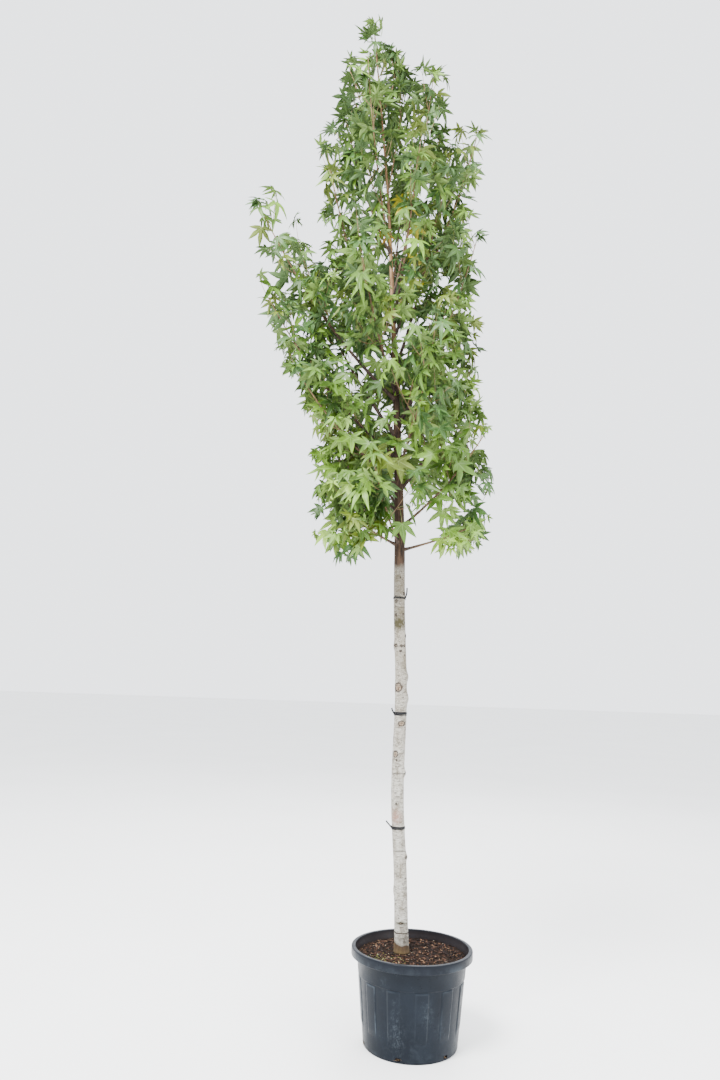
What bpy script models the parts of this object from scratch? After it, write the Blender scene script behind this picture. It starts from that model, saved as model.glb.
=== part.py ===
"""A young sweetgum tree in a round nursery pot, at its real size.

Metres, +Z up. The origin is the centre of the pot's flat underside. -Y is the front, and +X is
to the right of someone who looks at the front. The trunk stands in the pot's bark mulch and runs
up through the crown to the top. Boughs leave it at their own heights. Each bough ends where its
own mass of twigs and leaves begins, and each mass keeps to the space nearest to its own stem.
"""

import math
import random

import bmesh
import bpy
import numpy as np
from mathutils import Matrix, Vector
from mathutils.bvhtree import BVHTree

# Pot
POT_HEIGHT = 0.400
RIM_RADIUS = 0.269
RIM_DEPTH = 0.036
RIM_MOUTH_RADIUS = 0.251
COLLAR_RADIUS = 0.2435
COLLAR_DEPTH = 0.079
COLLAR_STEP = 0.003
BASE_RADIUS = 0.206
WALL = 0.0035
POT_STEPS = 72
PANEL_COUNT = 12
PANEL_HEIGHTS = (0.080, 0.105, 0.279, 0.284)
PANEL_HALF_ANGLE = math.radians(6)
PANEL_RAISE = 0.0028
FIRST_PANEL = math.radians(-82.6)
DRAIN_COUNT = 6
DRAIN_SIZE = (0.030, 0.022, 0.013)
DRAIN_HEIGHT = 0.0155
FIRST_DRAIN = math.radians(-108)

# Bark mulch, and the clear gap between touching pieces
SOIL_TOP = 0.375
SOIL_EDGE_DROP = 0.006
SOIL_FLAT_RADIUS = 0.15
GAP = 0.0003

# Trunk: how far its middle lies to the right of the pot's middle, at some heights
TRUNK_BENDS = (
    (0.375, -0.045), (0.70, -0.059), (1.04, -0.080), (1.50, -0.075), (1.90, -0.093), (2.30, -0.103),
    (2.90, -0.133), (3.46, -0.167), (4.00, -0.202), (4.50, -0.250), (4.97, -0.300),
)
TRUNK_DEPTH = 0.010
SWAY = 0.012
SWAY_PER_METRE = 1.9
SWAY_START = 0.4
TRUNK_TOP = 4.97
FOOT_RADIUS = 0.0305
FLARE = 0.006
FLARE_HEIGHT = 0.035
CROWN_FOOT = 2.12
CROWN_FOOT_RADIUS = 0.0265
LEADER_RADIUS = 0.0035
CROWN_TAPER = 1.7
TRUNK_SIDES = 16
TRUNK_RINGS = 25
FOOT_RINGS = (0.0, 0.012, 0.03, 0.06, 0.11)
FIRST_EVEN_RING = 0.2
CUTTER_SWELL = 0.00036
CUTTER_OVERRUN = 0.01

# Ties round the trunk: height, width of the band, and the tail's bearing, lean and length
TIES = {
    "tie_low": (0.900, 0.008, math.radians(200), math.radians(35), 0.045),
    "tie_middle": (1.410, 0.012, math.radians(185), math.radians(60), 0.018),
    "tie_high": (1.950, 0.007, math.radians(-20), math.radians(12), 0.035),
}
TIE_THICKNESS = 0.0024
TIE_SIDES = 24
TIE_TAIL_RADIUS = 0.0016
TIE_TAIL_BOW = 0.002

# Crown outline: reach from the trunk at some heights, to the left, to the right and in depth
LEFT_REACH = (
    (2.04, 0.33), (2.25, 0.42), (2.75, 0.42), (3.00, 0.55), (3.85, 0.76), (4.04, 0.74),
    (4.08, 0.40), (4.45, 0.34), (4.60, 0.24), (4.85, 0.17), (5.17, 0.10),
)
RIGHT_REACH = (
    (2.06, 0.30), (2.25, 0.47), (2.80, 0.43), (4.20, 0.50), (4.56, 0.54), (4.70, 0.42), (4.79, 0.32),
    (4.87, 0.12), (5.17, 0.07),
)
DEPTH_REACH = (
    (2.06, 0.24), (2.30, 0.42), (3.20, 0.52), (3.90, 0.48), (4.40, 0.36), (4.80, 0.18), (5.17, 0.07),
)

# Boughs seen from the front: where each leaves the trunk, and where its stem's tip is
SEEN_BOUGHS = {
    "left_long": (2.93, (-0.86, -0.05, 3.93)),
    "left_inner": (2.74, (-0.66, 0.14, 3.80)),
    "left_outer": (2.63, (-0.77, -0.03, 3.40)),
    "left_tall": (3.02, (-0.53, 0.02, 4.28)),
    "left_low": (2.20, (-0.45, -0.06, 2.42)),
    "left_low_back": (2.37, (-0.46, 0.17, 2.76)),
    "left_middle": (2.50, (-0.62, -0.12, 3.02)),
    "right_low": (2.18, (0.31, -0.03, 2.34)),
    "right_rising": (2.29, (0.29, -0.17, 2.74)),
    "right_middle": (2.47, (0.24, 0.14, 3.14)),
    "right_inner": (3.10, (0.08, -0.03, 4.14)),
    "right_long": (2.80, (0.24, -0.11, 3.74)),
    "right_tall": (3.28, (0.26, 0.05, 4.44)),
    "centre_tall": (3.48, (0.01, -0.06, 4.68)),
    "top_left": (3.72, (-0.44, 0.05, 4.50)),
    "top_right": (4.08, (-0.14, 0.05, 4.68)),
}
# Boughs to the front and back, in turn up the trunk. The low ones rise the least.
DEPTH_BOUGHS = 9
DEPTH_BOUGH_START = 2.20
DEPTH_BOUGH_STEP = 0.19
DEPTH_BOUGH_RISE = (0.34, 0.84)
DEPTH_BOUGH_SPREAD = math.radians(24)
DEPTH_BOUGH_INSET = 0.13

BOUGH_BOW = 0.10
BARE_SHARE = 0.28
BOUGH_SIDES = 6
BOUGH_RINGS = 4
BOUGH_RADIUS = 0.0052
BOUGH_RADIUS_PER_METRE = 0.0035
BOUGH_TO_TRUNK = 0.62
LIMB_TAPER = 1.2
LIMB_SAMPLES = 40
STEM_TIP_RADIUS = 0.0022
STEM_LEAD = 0.008

# Stems that grow straight from the leader: height, bearing, reach and rise
LEADER_STEMS = {
    "leader_left": (4.42, math.radians(170), 0.13, 0.30),
    "leader_right": (4.56, math.radians(-15), 0.10, 0.28),
}
LEADER_STEM_LEAD = 0.006
LEADER_STEM_BEND = (0.7, 0.2)
TOP_STEM_RISE = 0.085

# Twigs and leaves of a mass
GOLDEN_ANGLE = math.radians(137.5)
TWIG_SPACING = 0.10
TWIG_START = 0.03
TWIG_LENGTH = (0.20, 0.12)
TWIG_SHRINKS = (1.0, 0.8, 0.6, 0.4)
TWIG_SWING = 0.2
TWIG_LEAN = math.radians(55)
TWIG_RADIUS = 0.0027
TWIG_TO_STEM = 0.75
TWIG_TAPER = 0.7
TWIG_LEAVES = (0.6, 0.25)
STEM_RINGS = 6
LEAVES_AT_TIP = 3
TIP_SINK = 0.004
LEAF_RADIUS = (0.160, 0.120)
LEAF_LEAN = math.radians(60)
LEAF_HANG = 0.55
LEAF_SWING = 0.5
LEAF_THICKNESS = 0.035
LEAF_DROOP = 0.22
# Half of the leaf's star: bearing from its tip, and reach as a share of its radius
LEAF_STAR = ((0, 1.0), (32, 0.56), (66, 0.95), (180, 0.3))
LEAF_TRIES = 22
LEAF_SHRINK = 0.965
SPACE_MARGIN = 0.003
LIMB_MARGIN = 0.003
SPINE_STEP = 0.02
TRUNK_STEP = 0.01
SEED = 1843

# Colours
POT_COLOUR = (0.052, 0.068, 0.088)
MULCH_COLOUR = (0.085, 0.042, 0.022)
TRUNK_COLOUR = (0.50, 0.47, 0.41)
BOUGH_COLOUR = (0.12, 0.07, 0.045)
TIE_COLOUR = (0.012, 0.012, 0.013)
LEAF_COLOURS = ((0.13, 0.24, 0.045), (0.10, 0.20, 0.04), (0.17, 0.28, 0.06))


def clear_scene():
    """Removes the objects, meshes and curves that are there."""
    for old in list(bpy.data.objects):
        bpy.data.objects.remove(old)
    for group in list(bpy.data.collections):
        bpy.data.collections.remove(group)


def make_collection(name):
    """A new collection in the scene."""
    group = bpy.data.collections.new(name)
    bpy.context.scene.collection.children.link(group)
    return group


def make_material(name, colour, roughness, metallic=0.0):
    """A plain Principled material."""
    material = bpy.data.materials.new(name)
    material.use_nodes = True
    shader = material.node_tree.nodes["Principled BSDF"]
    shader.inputs["Base Color"].default_value = (*colour, 1.0)
    shader.inputs["Roughness"].default_value = roughness
    shader.inputs["Metallic"].default_value = metallic
    return material


def add_object(name, mesh, group, material=None):
    """An object for a mesh, shaded smooth up to its sharp edges."""
    thing = bpy.data.objects.new(name, mesh)
    group.objects.link(thing)
    if material:
        mesh.materials.append(material)
    mesh.shade_smooth()
    mesh.set_sharp_from_angle(angle=math.radians(40))
    return thing


def evaluated_mesh(thing):
    """A new mesh that holds the object as its modifiers leave it."""
    bpy.context.view_layer.update()
    graph = bpy.context.evaluated_depsgraph_get()
    return bpy.data.meshes.new_from_object(thing.evaluated_get(graph))


def weld(mesh, distance=0.00001):
    """Welds the mesh's points and turns its faces outwards."""
    work = bmesh.new()
    work.from_mesh(mesh)
    bmesh.ops.remove_doubles(work, verts=work.verts, dist=distance)
    bmesh.ops.recalc_face_normals(work, faces=work.faces)
    work.to_mesh(mesh)
    work.free()


def bake_modifiers(thing):
    """Applies the object's modifiers to its mesh."""
    mesh = evaluated_mesh(thing)
    thing.modifiers.clear()
    thing.data = mesh


def boolean(thing, operation, cutter=None, group=None, solver="EXACT"):
    """Applies one Boolean with an object or with a collection."""
    modifier = thing.modifiers.new("shape", "BOOLEAN")
    modifier.operation = operation
    modifier.solver = solver
    if group:
        modifier.operand_type = "COLLECTION"
        modifier.collection = group
    else:
        modifier.object = cutter
    bake_modifiers(thing)


def fuse(thing, group):
    """Joins a collection's objects to the thing, by the second solver where the first leaves a hole."""
    before = thing.data
    for solver in ("EXACT", "MANIFOLD"):
        thing.data = before.copy()
        boolean(thing, "UNION", group=group, solver=solver)
        keep_outer_body(thing.data)
        if is_closed(thing.data):
            return


def is_closed(mesh):
    """True if each edge is shared by two faces."""
    work = bmesh.new()
    work.from_mesh(mesh)
    closed = all(len(edge.link_faces) == 2 for edge in work.edges)
    work.free()
    return closed


def hide_tool(thing):
    """Marks a cutter or a guide, which isn't part of the tree."""
    thing.hide_render = True
    thing.display_type = "WIRE"


def smooth_value(table, at):
    """A smooth curve through a table of (place, value), level with its neighbours' slope."""
    places = [row[0] for row in table]
    at = min(max(at, places[0]), places[-1])
    last = len(table) - 1
    i = min(max(sum(p <= at for p in places) - 1, 0), last - 1)

    def slope(k):
        a, b = max(k - 1, 0), min(k + 1, last)
        return (table[b][1] - table[a][1]) / (table[b][0] - table[a][0])

    (x0, y0), (x1, y1) = table[i], table[i + 1]
    width = x1 - x0
    s = (at - x0) / width
    rise = y0 * (1 + 2 * s) * (1 - s) ** 2 + y1 * s * s * (3 - 2 * s)
    return rise + width * (slope(i) * s * (1 - s) ** 2 - slope(i + 1) * s * s * (1 - s))


def table_value(table, at):
    """Straight runs between the rows of a table of (place, value)."""
    return float(np.interp(at, [row[0] for row in table], [row[1] for row in table]))


def trunk_axis(height):
    """The middle of the trunk at a height, which is upright at its foot."""
    up = height - SOIL_TOP
    sway = SWAY * math.sin(SWAY_PER_METRE * up) * min(1.0, up / SWAY_START)
    return Vector((smooth_value(TRUNK_BENDS, height), TRUNK_DEPTH + sway, height))


def trunk_radius(height):
    """The trunk's radius: a flared foot, a slow taper, and a faster one in the crown."""
    if height < CROWN_FOOT:
        share = (height - SOIL_TOP) / (CROWN_FOOT - SOIL_TOP)
        flare = FLARE * math.exp(-(height - SOIL_TOP) / FLARE_HEIGHT)
        return FOOT_RADIUS + (CROWN_FOOT_RADIUS - FOOT_RADIUS) * share + flare
    share = (height - CROWN_FOOT) / (TRUNK_TOP - CROWN_FOOT)
    return LEADER_RADIUS + (CROWN_FOOT_RADIUS - LEADER_RADIUS) * (1 - share) ** CROWN_TAPER


def crown_reach(bearing, height):
    """How far the crown reaches from the trunk's middle on a bearing, at a height."""
    across, deep = math.cos(bearing), math.sin(bearing)
    side = RIGHT_REACH if across > 0 else LEFT_REACH
    return table_value(side, height) * across**2 + table_value(DEPTH_REACH, height) * deep**2


def make_tube(name, points, radii, sides, group, material=None):
    """A tapering limb along points, as a closed mesh. Three-sided ones take a triangle's outline."""
    curve = bpy.data.curves.new(name, "CURVE")
    curve.dimensions = "3D"
    curve.use_fill_caps = True
    spline = curve.splines.new("POLY")
    spline.points.add(len(points) - 1)
    for place, point, radius in zip(spline.points, points, radii):
        place.co = (*point, 1.0)
        place.radius = radius
    outline = None
    if sides == 3:
        outline = make_triangle(group)
        curve.bevel_mode = "OBJECT"
        curve.bevel_object = outline
    else:
        curve.bevel_depth = 1.0
        curve.bevel_resolution = (sides - 4) // 2
    guide = bpy.data.objects.new(name + "_guide", curve)
    group.objects.link(guide)
    mesh = evaluated_mesh(guide)
    weld(mesh)
    thing = add_object(name, mesh, group, material)
    thing.matrix_world = guide.matrix_world
    bpy.data.objects.remove(guide)
    if outline:
        bpy.data.objects.remove(outline)
    return thing


def make_triangle(group):
    """A triangle of unit radius, the outline of a twig."""
    curve = bpy.data.curves.new("triangle", "CURVE")
    spline = curve.splines.new("POLY")
    spline.points.add(2)
    for i, place in enumerate(spline.points):
        turn = 2 * math.pi * i / 3
        place.co = (math.cos(turn), math.sin(turn), 0.0, 1.0)
    spline.use_cyclic_u = True
    outline = bpy.data.objects.new("triangle", curve)
    group.objects.link(outline)
    return outline


def wall_radius(height):
    """The radius of the pot's outer wall below its collar."""
    top = COLLAR_RADIUS - COLLAR_STEP
    return BASE_RADIUS + (top - BASE_RADIUS) * height / (POT_HEIGHT - RIM_DEPTH)


def turned(name, profile, steps, group, material):
    """A profile of (radius, height), turned about Z. It runs down its outer side."""
    mesh = bpy.data.meshes.new(name)
    mesh.from_pydata([(r, 0.0, z) for r, z in profile], [(i, i + 1) for i in range(len(profile) - 1)], [])
    thing = bpy.data.objects.new(name, mesh)
    group.objects.link(thing)
    screw = thing.modifiers.new("turn", "SCREW")
    screw.steps = steps
    screw.render_steps = steps
    screw.use_merge_vertices = True
    screw.merge_threshold = 0.00001
    solid = evaluated_mesh(thing)
    bpy.data.objects.remove(thing)
    weld(solid)
    return add_object(name, solid, group, material)


def make_pot(group, tools, material):
    """The pot: turned, with twelve raised panels in its wall and drain holes round its foot."""
    rim_foot = POT_HEIGHT - RIM_DEPTH
    collar_foot = rim_foot - COLLAR_DEPTH
    low, low_full, high_full, high = PANEL_HEIGHTS
    profile = [
        (0.0, WALL),
        (BASE_RADIUS - WALL, WALL),
        (COLLAR_RADIUS - WALL, rim_foot),
        (RIM_MOUTH_RADIUS, POT_HEIGHT - 0.008),
        (RIM_MOUTH_RADIUS + 0.002, POT_HEIGHT),
        (RIM_RADIUS - 0.004, POT_HEIGHT),
        (RIM_RADIUS, POT_HEIGHT - 0.005),
        (RIM_RADIUS, rim_foot + 0.002),
        (COLLAR_RADIUS, rim_foot - 0.001),
        (wall_radius(collar_foot) + COLLAR_STEP, collar_foot + 0.004),
        (wall_radius(high), high),
        (wall_radius(high_full), high_full),
        (wall_radius(low_full), low_full),
        (wall_radius(low), low),
        (BASE_RADIUS, 0.007),
        (BASE_RADIUS - 0.006, 0.0),
        (0.0, 0.0),
    ]
    pot = turned("pot", profile, POT_STEPS, group, material)
    turn_to_panel = Matrix.Rotation(FIRST_PANEL, 4, "Z")
    pot.data.transform(turn_to_panel)
    for point in pot.data.vertices:
        radius = math.hypot(point.co.x, point.co.y)
        outside = radius > wall_radius(point.co.z) - WALL / 2
        if not (outside and low_full - 0.001 < point.co.z < high_full + 0.001):
            continue
        bearing = math.atan2(point.co.y, point.co.x) - FIRST_PANEL
        spacing = 2 * math.pi / PANEL_COUNT
        off = abs((bearing + spacing / 2) % spacing - spacing / 2)
        if off < PANEL_HALF_ANGLE:
            scale = (radius + PANEL_RAISE) / radius
            point.co.x *= scale
            point.co.y *= scale
    for i in range(DRAIN_COUNT):
        turn = FIRST_DRAIN + i * 2 * math.pi / DRAIN_COUNT
        bpy.ops.mesh.primitive_cube_add(size=1.0)
        cutter = bpy.context.object
        cutter.name = f"drain_cutter_{i}"
        cutter.data.transform(Matrix.Diagonal((*DRAIN_SIZE, 1.0)))
        place = Matrix.Rotation(turn, 4, "Z") @ Matrix.Translation((BASE_RADIUS, 0.0, DRAIN_HEIGHT))
        cutter.data.transform(place)
        cutter.users_collection[0].objects.unlink(cutter)
        tools.objects.link(cutter)
        hide_tool(cutter)
        boolean(pot, "DIFFERENCE", cutter)
        bpy.data.objects.remove(cutter)
    return pot


def make_soil(group, material):
    """The mulch that fills the pot up to a finger's width under its rim."""
    slope = (COLLAR_RADIUS - BASE_RADIUS) / (POT_HEIGHT - RIM_DEPTH - WALL)
    foot = WALL + GAP
    edge = SOIL_TOP - SOIL_EDGE_DROP
    rim_foot = POT_HEIGHT - RIM_DEPTH
    profile = [
        (0.0, SOIL_TOP),
        (SOIL_FLAT_RADIUS, SOIL_TOP),
        (COLLAR_RADIUS - WALL - GAP, edge),
        (COLLAR_RADIUS - WALL - GAP - slope * 0.001, rim_foot - 0.001),
        (BASE_RADIUS - WALL - 2 * GAP, foot),
        (0.0, foot),
    ]
    return turned("soil", profile, POT_STEPS // 2, group, material)


def trunk_points(swell=0.0, overrun=0.0):
    """The trunk's middle and radius up its height. It stands upright on the mulch."""
    points, radii = [], []
    foot = SOIL_TOP + GAP
    first = foot + FIRST_EVEN_RING
    heights = [foot + up for up in FOOT_RINGS]
    heights += [first + (TRUNK_TOP - first) * i / (TRUNK_RINGS - 1) for i in range(TRUNK_RINGS)]
    for height in heights:
        point = trunk_axis(max(height, foot + FOOT_RINGS[1]))
        points.append(Vector((point.x, point.y, height)))
        radii.append(trunk_radius(height) + swell)
    points[0].z -= overrun
    points[-1] += (points[-1] - points[-2]).normalized() * overrun
    return points, radii


def make_tie(name, group, tools, cutter, material):
    """A tie: a band round the trunk with a short tail."""
    height, width, bearing, lean, length = TIES[name]
    middle = trunk_axis(height)
    radius = trunk_radius(height) + TIE_THICKNESS
    bpy.ops.mesh.primitive_cylinder_add(vertices=TIE_SIDES, radius=radius, depth=width)
    band = bpy.context.object
    band.users_collection[0].objects.unlink(band)
    mesh = band.data
    mesh.transform(Matrix.Translation(middle))
    bpy.data.objects.remove(band)
    tie = add_object(name, mesh, group, material)
    out = Vector((math.cos(bearing), math.sin(bearing), 0.0))
    way = out * math.sin(lean) + Vector((0.0, 0.0, math.cos(lean)))
    root = middle + out * (radius - TIE_TAIL_RADIUS)
    points = [root, root + way * (length / 2) + out * TIE_TAIL_BOW, root + way * length]
    tail = make_tube(name + "_tail", points, [TIE_TAIL_RADIUS] * 3, 6, tools)
    boolean(tie, "UNION", tail)
    bpy.data.objects.remove(tail)
    boolean(tie, "DIFFERENCE", cutter)
    return tie


class Limb:
    """A limb's whole run: a bough from the trunk, then the stem of its mass up to the tip."""

    def __init__(self, name, start, tip, bare=BARE_SHARE):
        self.name = name
        self.start = start
        across = Vector((tip.x - start.x, tip.y - start.y, 0.0))
        rise = tip.z - start.z
        self.bend = start + across * (0.5 + BOUGH_BOW) + Vector((0, 0, rise * (0.5 - BOUGH_BOW)))
        self.tip = tip
        self.bare = bare
        self.length = sum((b - a).length for a, b in self.pairs(LIMB_SAMPLES))
        full = BOUGH_RADIUS + BOUGH_RADIUS_PER_METRE * self.length
        self.base_radius = min(full, BOUGH_TO_TRUNK * trunk_radius(start.z))

    def at(self, share):
        """The point at a share of the run, on one smooth arc."""
        left = 1 - share
        return self.start * left**2 + self.bend * (2 * left * share) + self.tip * share**2

    def pairs(self, count):
        points = [self.at(i / count) for i in range(count + 1)]
        return zip(points, points[1:])

    def radius(self, share):
        """The taper from the trunk to the stem's tip."""
        return STEM_TIP_RADIUS + (self.base_radius - STEM_TIP_RADIUS) * (1 - share) ** LIMB_TAPER


class Space:
    """The room of each mass, and all that a new twig or leaf may not touch."""

    def __init__(self, spines, limbs, limb_faces):
        self.spines = np.array([p for spine in spines for p in spine])
        self.owner = np.array([i for i, spine in enumerate(spines) for _ in spine])
        self.limb_points = np.array([p for p, _ in limbs])
        self.limb_radii = np.array([r for _, r in limbs])
        self.filled = list(limb_faces)

    def holds(self, mass, points):
        """True if the points are nearest to the mass's own stem, off the limbs and in the crown."""
        places = np.array(points)
        apart = np.linalg.norm(places[:, None] - self.spines[None], axis=2)
        own = apart[:, self.owner == mass].min(axis=1)
        other = apart[:, self.owner != mass].min(axis=1)
        if (own + 2 * SPACE_MARGIN > other).any():
            return False
        clear = np.linalg.norm(places[:, None] - self.limb_points[None], axis=2) - self.limb_radii
        if (clear < LIMB_MARGIN).any():
            return False
        return all(in_crown(point) for point in points)


def in_crown(point):
    """True if a point is inside the crown's outline."""
    height = point[2]
    if not LEFT_REACH[0][0] < height < LEFT_REACH[-1][0]:
        return False
    middle = trunk_axis(min(height, TRUNK_TOP))
    across, deep = point[0] - middle.x, point[1] - middle.y
    return math.hypot(across, deep) < crown_reach(math.atan2(deep, across), height)


def frame_of(way, up):
    """A matrix whose X axis is the way and whose Z axis is as near up as it can be."""
    x = way.normalized()
    z = (up - x * up.dot(x)).normalized()
    y = z.cross(x)
    return Matrix((x, y, z)).transposed().to_4x4()


def any_side(way):
    """A unit vector at right angles to a way."""
    other = Vector((0, 0, 1)) if abs(way.z) < 0.9 else Vector((1, 0, 0))
    return way.cross(other).normalized()


def leaf_outline():
    """The points of a leaf's star round its middle, as (along, across) shares of its radius."""
    half = [(math.radians(turn), reach) for turn, reach in LEAF_STAR]
    mirrored = [(-turn, reach) for turn, reach in reversed(half[1:-1])]
    return [(math.cos(turn) * reach, math.sin(turn) * reach) for turn, reach in half + mirrored]


def leaf_checks(matrix, radius):
    """Points all over a leaf, to test it against its mass's space."""
    outline = leaf_outline()
    checks = []
    for (x0, y0), (x1, y1) in zip(outline, outline[1:] + outline[:1]):
        for share in (0.0, 0.34, 0.67):
            x, y = x0 + (x1 - x0) * share, y0 + (y1 - y0) * share
            reach = math.hypot(x, y)
            checks.append(matrix @ Vector((x * radius, y * radius, -LEAF_DROOP * radius * reach**2)))
    return checks


def make_leaf(matrix, radius):
    """A closed leaf of three broad lobes: two shallow cones on one rim, which droops."""
    outline = leaf_outline()
    work = bmesh.new()
    for side in (1, -1):
        bmesh.ops.create_cone(
            work,
            cap_ends=False,
            segments=len(outline),
            radius1=1.0,
            radius2=0.0,
            depth=1.0,
            matrix=Matrix.Diagonal((1, 1, side, 1)) @ Matrix.Translation((0, 0, 0.5)),
        )
    bmesh.ops.remove_doubles(work, verts=work.verts, dist=0.00001)
    rim = [v for v in work.verts if math.hypot(v.co.x, v.co.y) > 0.5]
    top = [v for v in work.verts if v not in rim]
    rim.sort(key=lambda v: math.atan2(v.co.y, v.co.x) % (2 * math.pi))
    for point, (x, y) in zip(rim, outline):
        reach = math.hypot(x, y)
        point.co = (x * radius, y * radius, -LEAF_DROOP * radius * reach**2)
    for point in top:
        point.co.z = math.copysign(LEAF_THICKNESS * radius / 2, point.co.z)
    bmesh.ops.recalc_face_normals(work, faces=work.faces)
    mesh = bpy.data.meshes.new("leaf")
    work.to_mesh(mesh)
    work.free()
    mesh.transform(matrix)
    return mesh


def touch_tree(mesh):
    """A tree of the mesh's faces, to test whether two meshes touch."""
    points = [v.co for v in mesh.vertices]
    return BVHTree.FromPolygons(points, [tuple(f.vertices) for f in mesh.polygons])


class Mass:
    """One mass: a stem, twigs round it by the golden angle, and leaves on both, all fused."""

    def __init__(self, name, number, stem, radii, space):
        self.name = name
        self.number = number
        self.stem = stem
        self.radii = radii
        self.space = space
        self.dice = random.Random(SEED + number)
        self.along = [0.0]
        for a, b in zip(stem, stem[1:]):
            self.along.append(self.along[-1] + (b - a).length)
        self.length = self.along[-1]
        self.placed = []

    def touches(self, faces, holder):
        """True if a new piece touches another mass, a limb, or more of its own mass than its holder."""
        if any(faces.overlap(other) for other in self.space.filled):
            return True
        return any(faces.overlap(other) for other in self.placed if other is not holder)

    def stem_at(self, distance):
        """The point and the way of the stem at a distance along it."""
        i = min(sum(s <= distance for s in self.along) - 1, len(self.stem) - 2)
        way = (self.stem[i + 1] - self.stem[i]).normalized()
        return self.stem[i] + way * (distance - self.along[i]), way

    def thickness_at(self, distance):
        """The stem's radius at a distance along it."""
        return float(np.interp(distance, self.along, self.radii))

    def grow(self, group, tools, material):
        """Makes the mass's one closed solid."""
        body = make_tube(self.name, self.stem, self.radii, 3, group, material)
        self.parts = bpy.data.collections.new(self.name + "_parts")
        tools.children.link(self.parts)
        stem_faces = touch_tree(body.data)
        self.placed.append(stem_faces)
        turn = self.dice.uniform(0, 2 * math.pi)
        count = max(2, round(self.length / TWIG_SPACING))
        for i in range(count):
            turn += GOLDEN_ANGLE
            distance = TWIG_START + (self.length - TWIG_START) * i / count
            self.grow_twig(distance, turn)
            root, way = self.stem_at(distance + 0.4 * self.length / count)
            self.try_leaf(root, sideways(way, turn + math.pi, LEAF_LEAN), stem_faces)
        end, way = self.stem_at(self.length - TIP_SINK)
        self.try_leaf(end, way, stem_faces)
        for i in range(LEAVES_AT_TIP - 1):
            root, way = self.stem_at(self.length - TIP_SINK * (3 + 4 * i))
            self.try_leaf(root, sideways(way, turn + (i + 1) * GOLDEN_ANGLE, LEAF_LEAN), stem_faces)
        self.space.filled += self.placed
        fuse(body, self.parts)
        for old in list(self.parts.objects):
            bpy.data.objects.remove(old)
        bpy.data.collections.remove(self.parts)

    def grow_twig(self, distance, turn):
        """A twig with a leaf at its tip and leaves at its sides, as long as its space lets it be."""
        root, way = self.stem_at(distance)
        full = TWIG_LENGTH[0] + (TWIG_LENGTH[1] - TWIG_LENGTH[0]) * distance / self.length
        for shrink in TWIG_SHRINKS:
            out = sideways(way, turn, TWIG_LEAN + self.dice.uniform(-TWIG_SWING, TWIG_SWING))
            tip = root + out * full * shrink
            mesh = make_twig(root, tip, min(TWIG_RADIUS, self.thickness_at(distance) * TWIG_TO_STEM))
            faces = touch_tree(mesh)
            steps = [root + (tip - root) * s for s in (0.25, 0.5, 0.75, 1.0)]
            if self.space.holds(self.number, steps) and not self.touches(faces, self.placed[0]):
                break
        else:
            return
        self.parts.objects.link(bpy.data.objects.new("twig", mesh))
        self.placed.append(faces)
        self.try_leaf(tip - out * TIP_SINK, out, faces)
        for i, share_along in enumerate(TWIG_LEAVES):
            side = sideways(out, turn * 2 + i * math.pi, LEAF_LEAN)
            self.try_leaf(root + (tip - root) * share_along, side, faces)

    def try_leaf(self, root, way, holder):
        """Adds a leaf that touches nothing but its holder. It is skipped where none fits."""
        up_crown = min(max((root.z - CROWN_FOOT) / (TRUNK_TOP - CROWN_FOOT), 0.0), 1.0)
        size = LEAF_RADIUS[0] + (LEAF_RADIUS[1] - LEAF_RADIUS[0]) * up_crown
        roll = self.dice.uniform
        for _ in range(LEAF_TRIES):
            out = way + Vector([roll(-LEAF_SWING, LEAF_SWING) for _ in range(3)])
            out.z -= LEAF_HANG * (1 - up_crown)
            face = Vector((roll(-1.0, 1.0), roll(-1.0, 1.0), 0.7))
            matrix = frame_of(out, face)
            matrix.translation = root + out.normalized() * size * LEAF_STAR[-1][1]
            if self.space.holds(self.number, leaf_checks(matrix, size)):
                mesh = make_leaf(matrix, size)
                faces = touch_tree(mesh)
                if not self.touches(faces, holder):
                    self.placed.append(faces)
                    self.parts.objects.link(bpy.data.objects.new("leaf", mesh))
                    return
            size *= LEAF_SHRINK


def sideways(way, turn, lean):
    """A way that leans off another one, on a bearing round it."""
    side = Matrix.Rotation(turn, 3, way) @ any_side(way)
    return (way * math.cos(lean) + side * math.sin(lean)).normalized()


def make_twig(root, tip, radius):
    """A straight three-sided twig."""
    place = (tip - root).to_track_quat("Z", "Y").to_matrix().to_4x4()
    place.translation = (root + tip) / 2
    work = bmesh.new()
    bmesh.ops.create_cone(
        work,
        cap_ends=True,
        segments=3,
        radius1=radius,
        radius2=radius * TWIG_TAPER,
        depth=(tip - root).length,
        matrix=place,
    )
    mesh = bpy.data.meshes.new("twig")
    work.to_mesh(mesh)
    work.free()
    return mesh


def keep_outer_body(mesh):
    """Keeps the largest closed body: sealed hollows are filled, and loose scraps go."""
    work = bmesh.new()
    work.from_mesh(mesh)
    bmesh.ops.triangulate(work, faces=work.faces)
    left = set(work.faces)
    shells = []
    while left:
        todo = [left.pop()]
        shell = set(todo)
        while todo:
            for edge in todo.pop().edges:
                for face in edge.link_faces:
                    if face in left:
                        left.remove(face)
                        shell.add(face)
                        todo.append(face)
        shells.append(shell)
    largest = max(shells, key=len)
    spare = [face for shell in shells if shell is not largest for face in shell]
    bmesh.ops.delete(work, geom=spare, context="FACES")
    work.to_mesh(mesh)
    work.free()


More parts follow.
